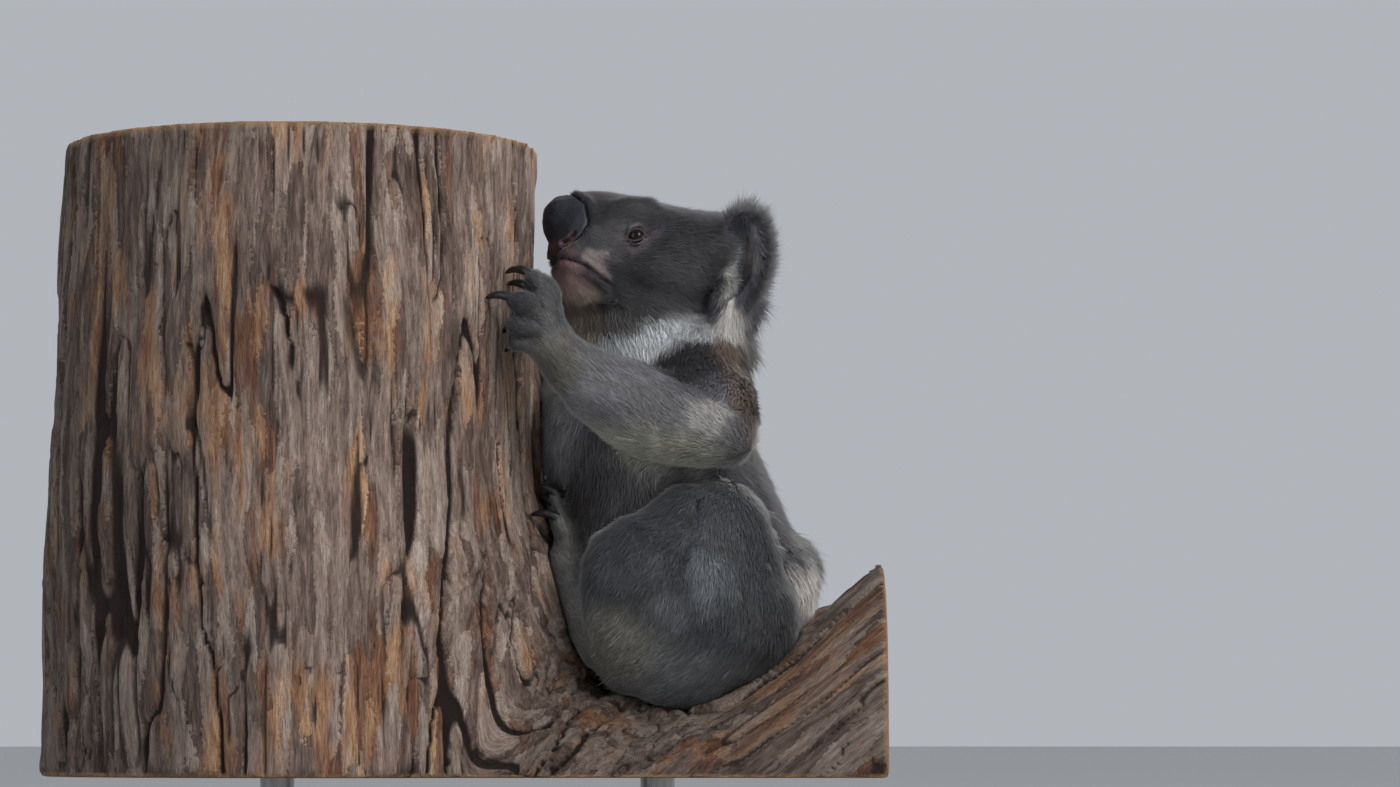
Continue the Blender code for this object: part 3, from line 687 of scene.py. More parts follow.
# patches of the body: the solid, a place in its box for the left side, reach, colour, strength
BODY_PATCHES = (
    ("trunk", (0.00, 0.50, 0.80), (0.080, 0.105, 0.100), tint(168, 170, 174), 0.95),
    # painted shade: the belly dark between the forearm and the haunch
    ("trunk", (0.32, 0.50, 0.59), (0.110, 0.130, 0.070), tint(34, 30, 31), 0.95),
    ("trunk", (0.62, 0.50, 0.98), (0.075, 0.120, 0.085), tint(84, 72, 68), 0.9),
    ("trunk", (0.85, 0.50, 0.55), (0.070, 0.140, 0.110), tint(40, 41, 49), 0.9),
    ("arm_left", (0.35, 0.40, 0.62), (0.050, 0.060, 0.036), tint(40, 37, 40), 0.9),
    ("arm_left", (0.74, 0.40, 0.84), (0.022, 0.075, 0.036), tint(132, 110, 95), 0.75),
    ("arm_left", (0.86, 0.40, 0.42), (0.023, 0.075, 0.046), tint(124, 104, 91), 0.7),
    ("arm_left", (0.96, 0.40, 0.04), (0.018, 0.060, 0.044), tint(118, 100, 88), 0.7),
    ("trunk", (0.80, 0.50, 0.88), (0.060, 0.130, 0.050), tint(96, 82, 74), 0.8),
    # painted highlight: the elbow's tip pale as if lit from behind
    ("forearm_left", (0.80, 0.20, 0.33), (0.024, 0.040, 0.022), tint(160, 158, 156), 0.95),
    ("forearm_left", (0.50, 0.30, 0.06), (0.085, 0.060, 0.036), tint(150, 149, 136), 1.0),
    ("forearm_left", (0.14, 0.20, 0.62), (0.034, 0.040, 0.034), tint(94, 91, 83), 0.9),
    ("forearm_left", (0.52, 0.10, 0.66), (0.040, 0.040, 0.022), tint(124, 123, 128), 0.8),
    ("hand_left", (0.12, 0.40, 0.55), (0.034, 0.050, 0.050), tint(50, 50, 54), 0.9),
    ("neck", (0.06, 0.34, 0.50), (0.052, 0.070, 0.046), tint(140, 132, 117), 1.0),
    ("neck", (1.05, 0.50, 0.60), (0.045, 0.060, 0.070), tint(80, 73, 74), 0.9),
    ("neck", (0.34, 0.06, 0.12), (0.034, 0.046, 0.022), tint(182, 187, 192), 1.0),
    ("neck", (0.52, 0.04, 0.36), (0.034, 0.046, 0.021), tint(186, 190, 194), 1.0),
    ("neck", (0.70, 0.02, 0.62), (0.034, 0.046, 0.020), tint(176, 178, 179), 1.0),
    ("thigh_left", (0.16, 0.25, 0.14), (0.062, 0.060, 0.050), tint(102, 99, 91), 0.8),
    ("thigh_left", (0.60, 0.05, 0.48), (0.026, 0.040, 0.034), tint(100, 106, 112), 0.8),
    ("thigh_left", (0.40, 0.05, 0.30), (0.030, 0.040, 0.024), tint(92, 94, 96), 0.7),
    # painted highlight: a pale rim along the top of the haunch, as if lit from behind
    ("thigh_left", (0.62, 0.55, 1.00), (0.034, 0.040, 0.008), tint(150, 148, 146), 0.7),
    # the pale rump: white fur, made brighter still with painted light as if lit from behind
    ("trunk", (0.97, 0.28, 0.30), (0.044, 0.060, 0.046), tint(240, 231, 225), 1.0),
)
# the parts that a patch may spread over, by the part that it is placed on
SPREADS_OVER = {
    "trunk": BARREL, "neck": BARREL + ("arm",), "arm": FORE_LIMB, "forearm": FORE_LIMB, "hand": FORE_LIMB,
    "thigh": HIND_LIMB,
}
# patches of the ear: up, back and out of its hollow, in shares of its half height, half breadth
# and depth; reach along each; colour; strength
EAR_PATCHES = (
    ((0.98, 0.00, 0.0), (0.30, 1.10, 3.0), tint(116, 116, 125), 0.9),
    ((0.25, 1.02, 0.0), (0.85, 0.30, 3.0), tint(134, 134, 146), 0.9),
    # painted shade in the hollow under the ear's top fringe
    ((0.66, 0.05, 0.8), (0.20, 0.66, 1.3), tint(54, 54, 60), 0.9),
    ((0.05, 0.08, 0.8), (0.62, 0.62, 1.5), tint(128, 122, 114), 0.95),
    ((-0.50, 0.35, 0.8), (0.34, 0.16, 1.5), tint(46, 45, 52), 0.85),
    ((-0.10, -0.60, 0.8), (0.76, 0.24, 1.5), tint(194, 194, 187), 0.95),
    ((-0.95, -0.05, 0.4), (0.26, 0.52, 3.0), tint(240, 232, 222), 1.0),
)
EDGE_WANDER = 0.006  # how far a patch's edge strays
LIP_EDGE = tint(140, 127, 126)  # the pale edge of the upper lip
SHADE_BESIDE_LEATHER = tint(38, 39, 46)  # painted shade along the top of the nose leather's edge, under the bridge's fold
# soft light and dark flecks through the coat: strength, size and seed of each
FLECKS = ((0.14, 0.0022, 6), (0.15, 0.0045, 7), (0.14, 0.013, 8), (0.10, 0.030, 9))


def patch(points, centre, reach, strength):
    """How strongly a patch of colour shows at each point."""
    away = np.linalg.norm((points - centre) / reach, axis=1)
    return strength * (1 - smooth(away, 0.45, 1.0))


def painted(colour, shade, shows):
    """A colour with a shade laid over it, as strongly as shows, 0 to 1, says at each point."""
    return colour * (1 - shows[:, None]) + shade * shows[:, None]


def coat_colour(points, belongs):
    """The coat's colour at points on the hide, with painted shade in its grooves, creases and folds."""
    stray = np.stack([noise(points, 0.018, seed) for seed in (1, 2, 3)], 1)
    stray += 0.5 * np.stack([noise(points, 0.006, seed) for seed in (4, 5, 6)], 1)
    strayed = points + EDGE_WANDER * stray
    colour = belongs @ np.array([PART_COLOURS[part_of(name)] for name in FLESH])
    place = in_head(strayed)
    place[:, 1] = np.abs(place[:, 1])
    on_head = share_of(belongs, "head")
    for centre, reach, shade, strength in HEAD_PATCHES:
        shows = patch(place, centre, reach, strength) * np.minimum(1.6 * on_head, 1)
        colour = painted(colour, shade, shows)
    left_side = to_left(strayed)
    for name, shares, reach, shade, strength in BODY_PATCHES:
        on_part = share_of(belongs, *SPREADS_OVER[part_of(name)])
        shows = patch(left_side, within(name, *shares), reach, strength) * np.minimum(1.5 * on_part, 1)
        colour = painted(colour, shade, shows)
    lip_height = above_mouth(place)
    lip = smooth(lip_height, 0.0008, 0.0030) * (1 - smooth(lip_height, 0.0075, 0.0130))
    lip = lip * smooth(place[:, 0], 0.090, 0.100) * (1 - smooth(place[:, 0], 0.112, 0.121)) * on_head
    colour = painted(colour, LIP_EDGE, lip)
    gap = np.full(len(points), 1.0)
    close = np.flatnonzero((place[:, 0] > 0.08) & (on_head > 0.5))
    gap[close] = gaps(nose_surface, points[close])
    # painted shade on the hide and hair just above the nose leather, where the bridge's fold overhangs it
    edge = 0.60 * (1 - smooth(gap, 0.0010, 0.0042)) * smooth(place[:, 2], 0.004, 0.014)
    colour = painted(colour, SHADE_BESIDE_LEATHER, edge)
    for side in SIDES:
        ear = ear_place(strayed, side)
        on_ear = belongs[:, FLESH.index("ear_" + side)]
        for centre, reach, shade, strength in EAR_PATCHES:
            shows = patch(ear, centre, reach, strength) * np.minimum(1.5 * on_ear, 1)
            colour = painted(colour, shade, shows)
    fleck_and_shade = 1 + sum(strength * noise(points, size, seed) for strength, size, seed in FLECKS)
    # painted shade: the coat darker along the grooves between the digits, in the haunch's creases and in the
    # folds where the limbs meet the body
    fleck_and_shade = fleck_and_shade * (1 - 0.65 * groove_share(points) * share_of(belongs, "hand"))
    fleck_and_shade = fleck_and_shade * (1 - 0.78 * crease_share(points)) * (1 - 0.62 * fold_share(belongs))
    warmth = 0.035 * noise(points, 0.026, 10)
    return colour * fleck_and_shade[:, None] * np.stack([1 + warmth, 1 + 0 * warmth, 1 - warmth], 1)


BARE_LID = tint(88, 74, 77)
BARE_MOUTH = tint(46, 27, 26)
UNDER_COAT = 0.80  # the hide under the hair, beside the hair's own colour
hide_colour = coat_colour(hide_points, belongs) * UNDER_COAT
bare_mouth = np.clip(1.2 * cleft, 0, 1)
for bare, shade in ((eye_bare, BARE_LID), (bare_mouth, BARE_MOUTH)):
    hide_colour = painted(hide_colour, shade, bare)


def give_colour(obj, colours):
    """Writes a colour at each point for the material to read."""
    layer = obj.data.attributes.new("marking", "FLOAT_COLOR", "POINT")
    whole = np.concatenate([colours, np.ones((len(colours), 1))], axis=1)
    layer.data.foreach_set("color", whole.astype(np.float32).ravel())


give_colour(hide, hide_colour)


def new_material(name):
    """A material, its node tree and its shader."""
    made = bpy.data.materials.new(name)
    made.use_nodes = True
    return made, made.node_tree, made.node_tree.nodes["Principled BSDF"]


def fed(tree, socket, value):
    """Gives a node's input a value: another node's output, a number, a place or a colour."""
    if isinstance(value, bpy.types.NodeSocket):
        tree.links.new(value, socket)
    elif np.ndim(value):
        socket.default_value = (*value, 1)[: len(socket.default_value)]
    else:
        socket.default_value = value


def placed(tree, kind, **values):
    """A shader node with its properties set and its inputs fed."""
    node = tree.nodes.new(kind)
    for key, value in values.items():
        if hasattr(node, key):
            setattr(node, key, value)
        else:
            fed(tree, node.inputs[key.replace("_", " ")], value)
    return node


def worked(tree, operation, *values, kind="ShaderNodeMath"):
    """A sum worked on values, each a socket or plain."""
    node = placed(tree, kind, operation=operation)
    for socket, value in zip(node.inputs, values):
        fed(tree, socket, value)
    return node.outputs[0]


def scaled(tree, colour, factor):
    """A colour made lighter or darker by a factor."""
    node = placed(tree, "ShaderNodeVectorMath", operation="SCALE")
    fed(tree, node.inputs[0], colour)
    fed(tree, node.inputs["Scale"], factor)
    return node.outputs[0]


def own_place(tree):
    """Where a point lies in the object's own axes."""
    return placed(tree, "ShaderNodeTexCoord").outputs["Object"]


def kept(tree, label, output="Fac"):
    """Values that the mesh keeps at its points."""
    return placed(tree, "ShaderNodeAttribute", attribute_name=label).outputs[output]


def shader_group(name, inputs, outputs):
    """An empty group of shader nodes with named sockets."""
    group = bpy.data.node_groups.new(name, "ShaderNodeTree")
    for label, kind, value in inputs:
        socket = group.interface.new_socket(label, in_out="INPUT", socket_type=kind)
        if value is not None:
            socket.default_value = value
    for label, kind in outputs:
        group.interface.new_socket(label, in_out="OUTPUT", socket_type=kind)
    return group, group.nodes.new("NodeGroupInput"), group.nodes.new("NodeGroupOutput")


def mottle_group():
    """Breaks up a colour with soft light and dark spots of a given size."""
    group, given, out = shader_group(
        "mottle",
        (
            ("Color", "NodeSocketColor", None),
            ("Scale", "NodeSocketFloat", 400.0),
            ("Strength", "NodeSocketFloat", 0.3),
        ),
        (("Color", "NodeSocketColor"), ("Height", "NodeSocketFloat")),
    )
    cloud = placed(group, "ShaderNodeTexNoise", Vector=own_place(group), Detail=3.0, Roughness=0.6)
    fed(group, cloud.inputs["Scale"], given.outputs["Scale"])
    spots = cloud.outputs["Fac"]
    centred = worked(group, "SUBTRACT", spots, 0.5)
    strong = worked(group, "MULTIPLY", centred, given.outputs["Strength"])
    factor = worked(group, "ADD", strong, 1.0)
    fed(group, out.inputs["Color"], scaled(group, given.outputs["Color"], factor))
    fed(group, out.inputs["Height"], spots)
    return group


mottle = mottle_group()


def marked_material(name, scale, strength):
    """A material in the mesh's own markings, broken up by spots, with the height of the spots."""
    made, tree, shader = new_material(name)
    marking = kept(tree, "marking", "Color")
    spots = placed(tree, "ShaderNodeGroup", node_tree=mottle, Color=marking, Scale=scale, Strength=strength)
    fed(tree, shader.inputs["Base Color"], spots.outputs["Color"])
    return made, tree, shader, spots.outputs["Height"]


def bumped(tree, height, shader, distance, strength=1.0):
    """Places a bump of so many metres before a shader."""
    bump = placed(tree, "ShaderNodeBump", Height=height, Distance=distance, Strength=strength)
    fed(tree, shader.inputs["Normal"], bump.outputs["Normal"])


def hide_finish():
    made, tree, shader, spots = marked_material("furred_hide", 900.0, 0.9)
    bumped(tree, spots, shader, 0.0008)
    shader.inputs["Roughness"].default_value = 0.85
    shader.inputs["Specular IOR Level"].default_value = 0.2
    return made


hide.data.materials.clear()
hide.data.materials.append(hide_finish())
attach(hide, "root")
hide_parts(*FLESH)


# ---------------------------------------------------------------- the coat
# Dense woolly hair. It grows back from the nose, down the neck and the back, out along the arms
# to the claws, and in a long fringe round the ears. Each tuft is a slim closed spindle.

chance = np.random.default_rng(20)
ROOT_SUNK = 0.0006
BEND_SHARE = 0.42  # where along a long tuft it is widest and bends
TUFT_HEIGHT = 0.42  # beside its width
PATCH_HALF = 0.0013  # half of a tuft's patch on the hide's unwrap
LOCK_OF = 9  # tufts to a lock
LOCK_PULL = 0.34
LOCK_BEND = 0.35  # how much less than the tips the tufts' bends draw together
LOCK_RADIUS = 0.012
TUFTS_TO_A_PIECE = {4: 48000, 6: 32000}  # by the faces of a tuft
NORMAL_SOFTNESS = 0.84  # how far a tuft is lit as the hide under it
CLEAR_OF_WOOD = 0.0015
# how the coat strays from its lie: by how much, over what size, and the seed; then tuft by tuft
SWIRLS = ((0.30, 0.040, 11), (0.22, 0.012, 12))
STRAY = 0.16
# how much tufts differ from one to the next, and their lengths from one spot to the next
LENGTH_DIFFERS, LENGTH_ROLLS, LIFT_DIFFERS, WIDTH_DIFFERS = 0.20, 0.22, 0.28, 0.4


def towards(target):
    """A lie of the coat that runs to a point."""
    return lambda points: unit(target - points)


def away_from(source):
    """A lie of the coat that runs from a point."""
    return lambda points: unit(points - source)


def along(direction):
    """A lie of the coat that runs one way everywhere."""
    return lambda points: np.broadcast_to(unit(direction), points.shape)


def ear_root(side):
    """The middle of the line along which the ear grows from the head, seen in the ear's own plane."""
    centre, axes, half_sizes = EAR_AXES[side]
    return centre - axes[1] * half_sizes[1] * 1.25 - axes[0] * half_sizes[0] * 0.30


lie = {
    "head": away_from(nose_middle + head_forward * 0.02),
    "neck": along((0.10, 0, -1)),
    "trunk": along((0.15, 0, -1)),
}
for side in SIDES:
    lie["ear_" + side] = away_from(ear_root(side))
    lie["arm_" + side] = along(middle("forearm_" + side) - middle("neck"))
    lie["forearm_" + side] = towards(middle("hand_" + side))
    lie["hand_" + side] = along(middle("claw_hand_" + side + "_3") - middle("forearm_" + side))
    lie["thigh_" + side] = along((-0.35, 0, -1))
    lie["shank_" + side] = along((-0.80, 0, -0.6))
    lie["foot_" + side] = along(middle("claw_foot_" + side + "_4") - middle("shank_" + side))


def laid_flat(ways, normals):
    """Directions turned to lie along the hide."""
    return unit(ways - (ways * normals).sum(1, keepdims=True) * normals)


coat_lie = sum(belongs[:, i : i + 1] * lie[name](hide_points) for i, name in enumerate(FLESH))
coat_lie = evened(laid_flat(coat_lie, hide_normals), hide_edges, 0.5, 10)
coat_lie = laid_flat(coat_lie, hide_normals)

# Bare places grow no tufts: under the nose leather, the lids' edges, the lips, and against the wood
hair_grows = 1 - np.clip(1.3 * eye_bare + 1.2 * cleft, 0, 1)
hair_grows = hair_grows * np.where(on_head > 0.5, smooth(leather_gap, 0.0002, 0.0010), 1)
above_hide = hide_points + hide_normals * (coat_depth * 0.6 + 0.001)[:, None]
wood_gap = gaps(surface_of("perch_fork"), above_hide)
hair_grows = hair_grows * smooth(wood_gap, 0.5 * CLEAR_OF_WOOD, CLEAR_OF_WOOD)

corner_uv = np.empty(2 * len(hide.data.loops), np.float32)
hide.data.uv_layers["OFBake"].data.foreach_get("uv", corner_uv)
corner_uv = corner_uv.reshape(-1, 3, 2).astype(float)

a, b, c = (hide_points[hide_triangles[:, k]] for k in range(3))
face_area = np.linalg.norm(np.cross(b - a, c - a), axis=1) / 2
face_tufts = (tuft_count * hair_grows)[hide_triangles].mean(1) * face_area * 1e4
tufts_wanted = int(face_tufts.sum())
marks = (np.arange(tufts_wanted) + chance.random(tufts_wanted)) * face_tufts.sum() / tufts_wanted
root_face = np.minimum(np.searchsorted(np.cumsum(face_tufts), marks), len(face_tufts) - 1)
first, second = chance.random((2, tufts_wanted))
over = first + second > 1
first, second = np.where(over, 1 - first, first), np.where(over, 1 - second, second)
root_shares = np.stack([1 - first - second, first, second], 1)


def at_roots(values):
    """Values on the hide, read where each tuft is rooted."""
    values = values[hide_triangles[root_face]]
    return np.einsum("nk,nk...->n...", root_shares, values)


roots = at_roots(hide_points)
root_normal = unit(at_roots(hide_normals))
root_lie = at_roots(coat_lie)
root_uv = np.einsum("nk,nkc->nc", root_shares, corner_uv[root_face])
root_belongs = at_roots(belongs)
root_part = np.array([part_of(name) for name in FLESH])[root_belongs.argmax(1)]

swirl = sum(strength * noise(roots, size, seed) for strength, size, seed in SWIRLS)
swirl = swirl + STRAY * chance.normal(size=tufts_wanted)
root_lie = laid_flat(root_lie, root_normal)
root_side = np.cross(root_normal, root_lie)
root_lie = root_lie * np.cos(swirl)[:, None] + root_side * np.sin(swirl)[:, None]

length = at_roots(hair_length) * np.exp(LENGTH_DIFFERS * chance.normal(size=tufts_wanted))
length = length * (1 + LENGTH_ROLLS * noise(roots, 0.010, 13))
lift = np.radians(at_roots(hair_lift)) * np.exp(LIFT_DIFFERS * chance.normal(size=tufts_wanted))
width = at_roots(tuft_width) * (0.8 + WIDTH_DIFFERS * chance.random(tufts_wanted))

# The back of the head and the nape: longer hair, that stands up more on the head
CROWN_LONGER, CROWN_LIFTED, NAPE_LONGER = 0.55, 0.35, 0.25
crown = at_roots(on_head) * smooth(-in_head(roots)[:, 0], -0.030, 0.030)
length = length * (1 + CROWN_LONGER * crown)
lift = lift * (1 + CROWN_LIFTED * crown)
nape = smooth(roots[:, 0], NAPE_FRONT, NAPE_BACK) * smooth(roots[:, 2], 0.395, 0.415)
length = length * (1 + NAPE_LONGER * nape * (1 - at_roots(on_head)))

# The ears: a fringe all round the rim, standing straight out from it, longest in a tuft at the
# foot, and shorter hair that falls within the hollow
FRINGE_STARTS = (0.64, 0.86)  # shares of the way from the ear's middle to its rim
FRINGE_LONGER, HOLLOW_SHORTER, FOOT_LONGER = 0.12, 0.25, 0.45
for side in SIDES:
    on_ear = root_belongs[:, FLESH.index("ear_" + side)]
    place = ear_place(roots, side)
    fringe = smooth(np.hypot(place[:, 0], place[:, 1]), *FRINGE_STARTS)
    hollow = (1 - fringe) * smooth(place[:, 2], -0.1, 0.3)
    longer = FRINGE_LONGER * fringe - HOLLOW_SHORTER * hollow + FOOT_LONGER * smooth(-place[:, 0], 0.45, 0.8)
    length = length * (1 + on_ear * longer)
    upright, broad, open_way = EAR_AXES[side][1]
    lower = smooth(-place[:, 0], 0.25, 0.8)[:, None]
    rimward = unit(roots - ear_root(side)) * (1 - lower) - upright * lower
    rimward = rimward + 0.16 * chance.normal(size=rimward.shape) + 0.08 * open_way
    falling = unit(0.45 * broad - upright) + 0.10 * chance.normal(size=rimward.shape)
    wanted = unit(rimward) * (1 - hollow[:, None]) + falling * hollow[:, None]
    blend = smooth(on_ear, 0.30, 0.75)[:, None]
    root_lie = unit(root_lie * (1 - blend) + unit(wanted) * blend)
    lift = lift * (1 - 0.45 * on_ear * hollow)
root_side = unit(np.cross(root_normal + 0.02 * chance.normal(size=root_normal.shape), root_lie))


def arrow(angle):
    """The direction that leaves the hide at that angle along the coat's lie."""
    return root_lie * np.cos(angle)[:, None] + root_normal * np.sin(angle)[:, None]


start = roots - root_normal * ROOT_SUNK
bend = roots + arrow(lift * 1.25) * (length * BEND_SHARE)[:, None]
tip = bend + arrow(lift * 0.70) * (length * (1 - BEND_SHARE))[:, None]

# Locks: the tips of neighbours draw together
centres = chance.choice(tufts_wanted, tufts_wanted // LOCK_OF, replace=False)
tree = KDTree(len(centres))
for i, centre in enumerate(roots[centres].tolist()):
    tree.insert(centre, i)
tree.balance()
lock = centres[[tree.find(root)[1] for root in roots.tolist()]]
pull = LOCK_PULL * chance.random(tufts_wanted)[:, None]
near_lock = (np.linalg.norm(roots[lock] - roots, axis=1) < LOCK_RADIUS)[:, None]
tip += np.where(near_lock, pull * (tip[lock] - tip), 0)
bend += np.where(near_lock, LOCK_BEND * pull * (bend[lock] - bend), 0)

ridge = unit(np.cross(tip - start, root_side))
ridge = np.where((ridge * root_normal).sum(1, keepdims=True) < 0, -ridge, ridge)
half = (root_side * width[:, None]) / 2
crest = ridge * (TUFT_HEIGHT * width)[:, None]
across = root_side
# a tuft of six faces bends; one of four is straight, and serves where the coat is short
TUFT_FACES = {
    6: np.array(((0, 1, 2), (0, 3, 1), (0, 2, 3), (4, 2, 1), (4, 1, 3), (4, 3, 2))),
    4: np.array(((3, 0, 2), (3, 2, 1), (3, 1, 0), (0, 1, 2))),
}
TUFT_POINTS = {
    6: np.stack([start, bend + half, bend - half, bend + crest, tip], 1),
    4: np.stack([start + half, start - half, start + crest, tip], 1),
}
TUFT_NORMALS = {
    6: np.stack([-root_lie, across, -across, ridge, root_lie], 1),
    4: np.stack([across, -across, ridge, ridge], 1),
}
TUFT_PATCH = {
    6: PATCH_HALF * np.array(((0, -1), (-1, 0), (1, 0), (0, 0.15), (0, 1))),
    4: PATCH_HALF * np.array(((-1, -0.7), (1, -0.7), (0, -0.3), (0, 1))),
}
# dark at the root, paler towards the tip
TUFT_SHADE = {6: np.array((0.62, 0.90, 0.90, 0.96, 1.18)), 4: np.array((0.74, 0.74, 0.80, 1.18))}

# each tuft a little lighter or darker, with single pale and dark ones through the coat
PALE_TUFTS, PALER = 0.06, 1.55
DARK_TUFTS, DARKER = 0.10, 0.66
SPECKLE, LESS_ON_HEAD = 0.22, 0.08
speckle = SPECKLE - LESS_ON_HEAD * at_roots(on_head)
shade = np.exp(speckle * chance.normal(size=tufts_wanted))
grizzle = chance.random(tufts_wanted)
shade = shade * np.where(grizzle > 1 - PALE_TUFTS, PALER, np.where(grizzle < DARK_TUFTS, DARKER, 1))
tuft_colour = coat_colour(roots, root_belongs) * shade[:, None]


def coat_finish():
    made, _, shader, _ = marked_material("hair", 700.0, 0.5)
    shader.inputs["Roughness"].default_value = 0.60
    shader.inputs["Specular IOR Level"].default_value = 0.30
    shader.inputs["Sheen Weight"].default_value = 0.25
    shader.inputs["Sheen Roughness"].default_value = 0.45
    return made


hair = coat_finish()


def coat_piece(name, chosen, faces):
    """One piece of the coat: the chosen tufts as a mesh, with its colours and its patches."""
    corners = TUFT_POINTS[faces][chosen]
    each = corners.shape[1]
    triangles = (TUFT_FACES[faces][None] + each * np.arange(len(chosen))[:, None, None]).reshape(-1, 3)
    piece = shell(name, corners.reshape(-1, 3), triangles)
    colours = tuft_colour[chosen][:, None, :] * TUFT_SHADE[faces][None, :, None]
    give_colour(piece, np.clip(colours, 0, 0.9).reshape(-1, 3))
    layer = piece.data.uv_layers.new(name="OFBake")
    spots = (root_uv[chosen][:, None, :] + TUFT_PATCH[faces][None]).reshape(-1, 2)
    layer.data.foreach_set("uv", spots[triangles.ravel()].astype(np.float32).ravel())
    piece.data.shade_smooth()
    own = TUFT_NORMALS[faces][chosen]
    soft = NORMAL_SOFTNESS * root_normal[chosen][:, None, :] + (1 - NORMAL_SOFTNESS) * own
    piece.data.normals_split_custom_set_from_vertices(unit(soft).reshape(-1, 3))
    piece.data.materials.append(hair)
    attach(piece, "root")


# each piece: the parts of the body it covers and the faces of its tufts
COAT_PIECES = {
    "head": (("head",), 4),
    "neck": (("neck",), 6),
    "body": (("trunk",), 4),
    "ears": (("ear",), 4),
    "arms": (("arm", "forearm"), 4),
    "hands": (("hand",), 4),
    "legs": (("thigh", "shank"), 4),
    "feet": (("foot",), 4),
}
for label, (parts, faces) in COAT_PIECES.items():
    members = np.flatnonzero(np.isin(root_part, parts))
    members = members[np.argsort(roots[members, 1])]
    pieces = -(-len(members) // TUFTS_TO_A_PIECE[faces])
    for number, chosen in enumerate(np.array_split(members, pieces), 1):
        coat_piece(f"coat_{label}_{number}", chosen, faces)


# ---------------------------------------------------------------- the nose
# Bare black leather, finely pebbled, with a comma-shaped nostril at each lower side.

NOSE_GRID = 0.0011
NOSE_STANDS = 0.0007  # the evening draws the leather in by about this much
NOSE_ROUNDS = 70
PEBBLE = 0.00016
# the nostril's bent line on the left, forward, outward and up in the head, and its half widths
NOSTRIL = (
    (0.1290, 0.0235, 0.0065), (0.1250, 0.0280, 0.0080), (0.1215, 0.0290, 0.0115), (0.1190, 0.0290, 0.0160),
)
NOSTRIL_RADIUS = (0.0040, 0.0052, 0.0036, 0.0012)
NOSTRIL_DEPTH = 0.0056
MIDDLE_GROOVE = (0.0012, 0.0010)  # the width and depth of the groove from the nose to the lip
LEATHER_TOP, LEATHER_FOOT = tint(27, 30, 38), tint(66, 44, 44)
NOSTRIL_INSIDE, NOSTRIL_RIM = tint(34, 13, 12), tint(92, 56, 50)


def line_share(places, line, radii):
    """How near places are to a bent line, 1 on it and 0 at its radius, measured by its own radii."""
    nearest = np.full(len(places), 9.0)
    for (first, second), (wide, narrow) in zip(itertools.pairwise(np.array(line)), itertools.pairwise(radii)):
        t, offset = beside_span(places, first, second)
        nearest = np.minimum(nearest, np.linalg.norm(offset, axis=1) / (wide + (narrow - wide) * t))
    return 1 - smooth(nearest, 0.0, 1.0)


points, triangles = welded("nose")
points = points + normals_of(points, triangles) * NOSE_STANDS
leather = melted(shell("nose_leather", points, triangles), NOSE_GRID)
points, edges = points_of(leather), edges_of(leather)
for _ in range(NOSE_ROUNDS):
    points = evened(points, edges, 0.5)
    points = evened(points, edges, -0.485)
set_points(leather, points)
in_triangles(leather)
triangles = triangles_of(leather)
normals = normals_of(points, triangles)
place = in_head(points)
place[:, 1] = np.abs(place[:, 1])
nostril = line_share(place, NOSTRIL, NOSTRIL_RADIUS)
pebbles = noise(points, 0.0016, 21) + 0.6 * noise(points, 0.0009, 22)
points = points + normals * (PEBBLE * pebbles * (1 - nostril) - NOSTRIL_DEPTH * nostril)[:, None]
groove_width, groove_depth = MIDDLE_GROOVE
groove = ridge_share(place[:, 1], 0, groove_width) * (1 - smooth(place[:, 2], 0.002, 0.018))
points = points - normals * (groove_depth * groove)[:, None]
set_points(leather, points)
lower = 1 - smooth(place[:, 2] + 0.25 * place[:, 1], 0.006, 0.018)
leather_colour = painted(LEATHER_TOP, LEATHER_FOOT, lower)
leather_colour = painted(leather_colour, NOSTRIL_INSIDE, smooth(nostril, 0.22, 0.70))
rim = smooth(nostril, 0.01, 0.12) * (1 - smooth(nostril, 0.14, 0.34))
give_colour(leather, painted(leather_colour, NOSTRIL_RIM, 0.75 * rim))


def leather_finish():
    made, tree, shader, _ = marked_material("black_leather", 500.0, 0.5)
    grain = placed(tree, "ShaderNodeTexVoronoi", feature="F1", Vector=own_place(tree), Scale=1100.0)
    bumped(tree, grain.outputs["Distance"], shader, 0.0003, 0.6)
    shader.inputs["Roughness"].default_value = 0.42
    shader.inputs["Specular IOR Level"].default_value = 0.45
    return made


leather.data.shade_smooth()
leather.data.materials.clear()
leather.data.materials.append(leather_finish())
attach(leather, "root")
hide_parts("nose")


# ---------------------------------------------------------------- the eyes
# Glass eyes, dark brown with an upright slit for a pupil, each set behind a bare rim of lid.

IRIS_SHARE = 0.66  # of the eyeball's radius
CORNEA_RISE = 0.0005
PUPIL = (0.16, 0.46)  # half width and half height, in shares of the radius
EYE_RINGS, EYE_ROUND = 40, 56
LID_RIM = 0.00075  # the half thickness of the lids' bare edge
LID_AROUND, LID_ACROSS = 72, 10  # points round the opening and round the edge
LID_STANDS = 0.0004  # over the eyeball
LID_PINCH = 0.16  # how much lower the opening is towards its corners
TEAR_CORNER = 0.0016  # how far the corner by the nose runs on
LID_DARK, LID_PINK = tint(58, 46, 48), tint(150, 108, 100)


def ramped(tree, value, stops):
    """Places a ramp of colours after a value."""
    ramp = placed(tree, "ShaderNodeValToRGB")
    elements = ramp.color_ramp.elements
    while len(elements) < len(stops):
        elements.new(0.5)
    for element, (position, colour) in zip(elements, stops):
        element.position = position
        element.color = (*colour, 1)
    fed(tree, ramp.inputs["Fac"], value)
    return ramp.outputs["Color"]


def mixed(tree, factor, first, second):
    """A mix of two colours, each a socket or a plain colour."""
    node = placed(tree, "ShaderNodeMix", data_type="RGBA", Factor=factor, A=first, B=second)
    return node.outputs["Result"]


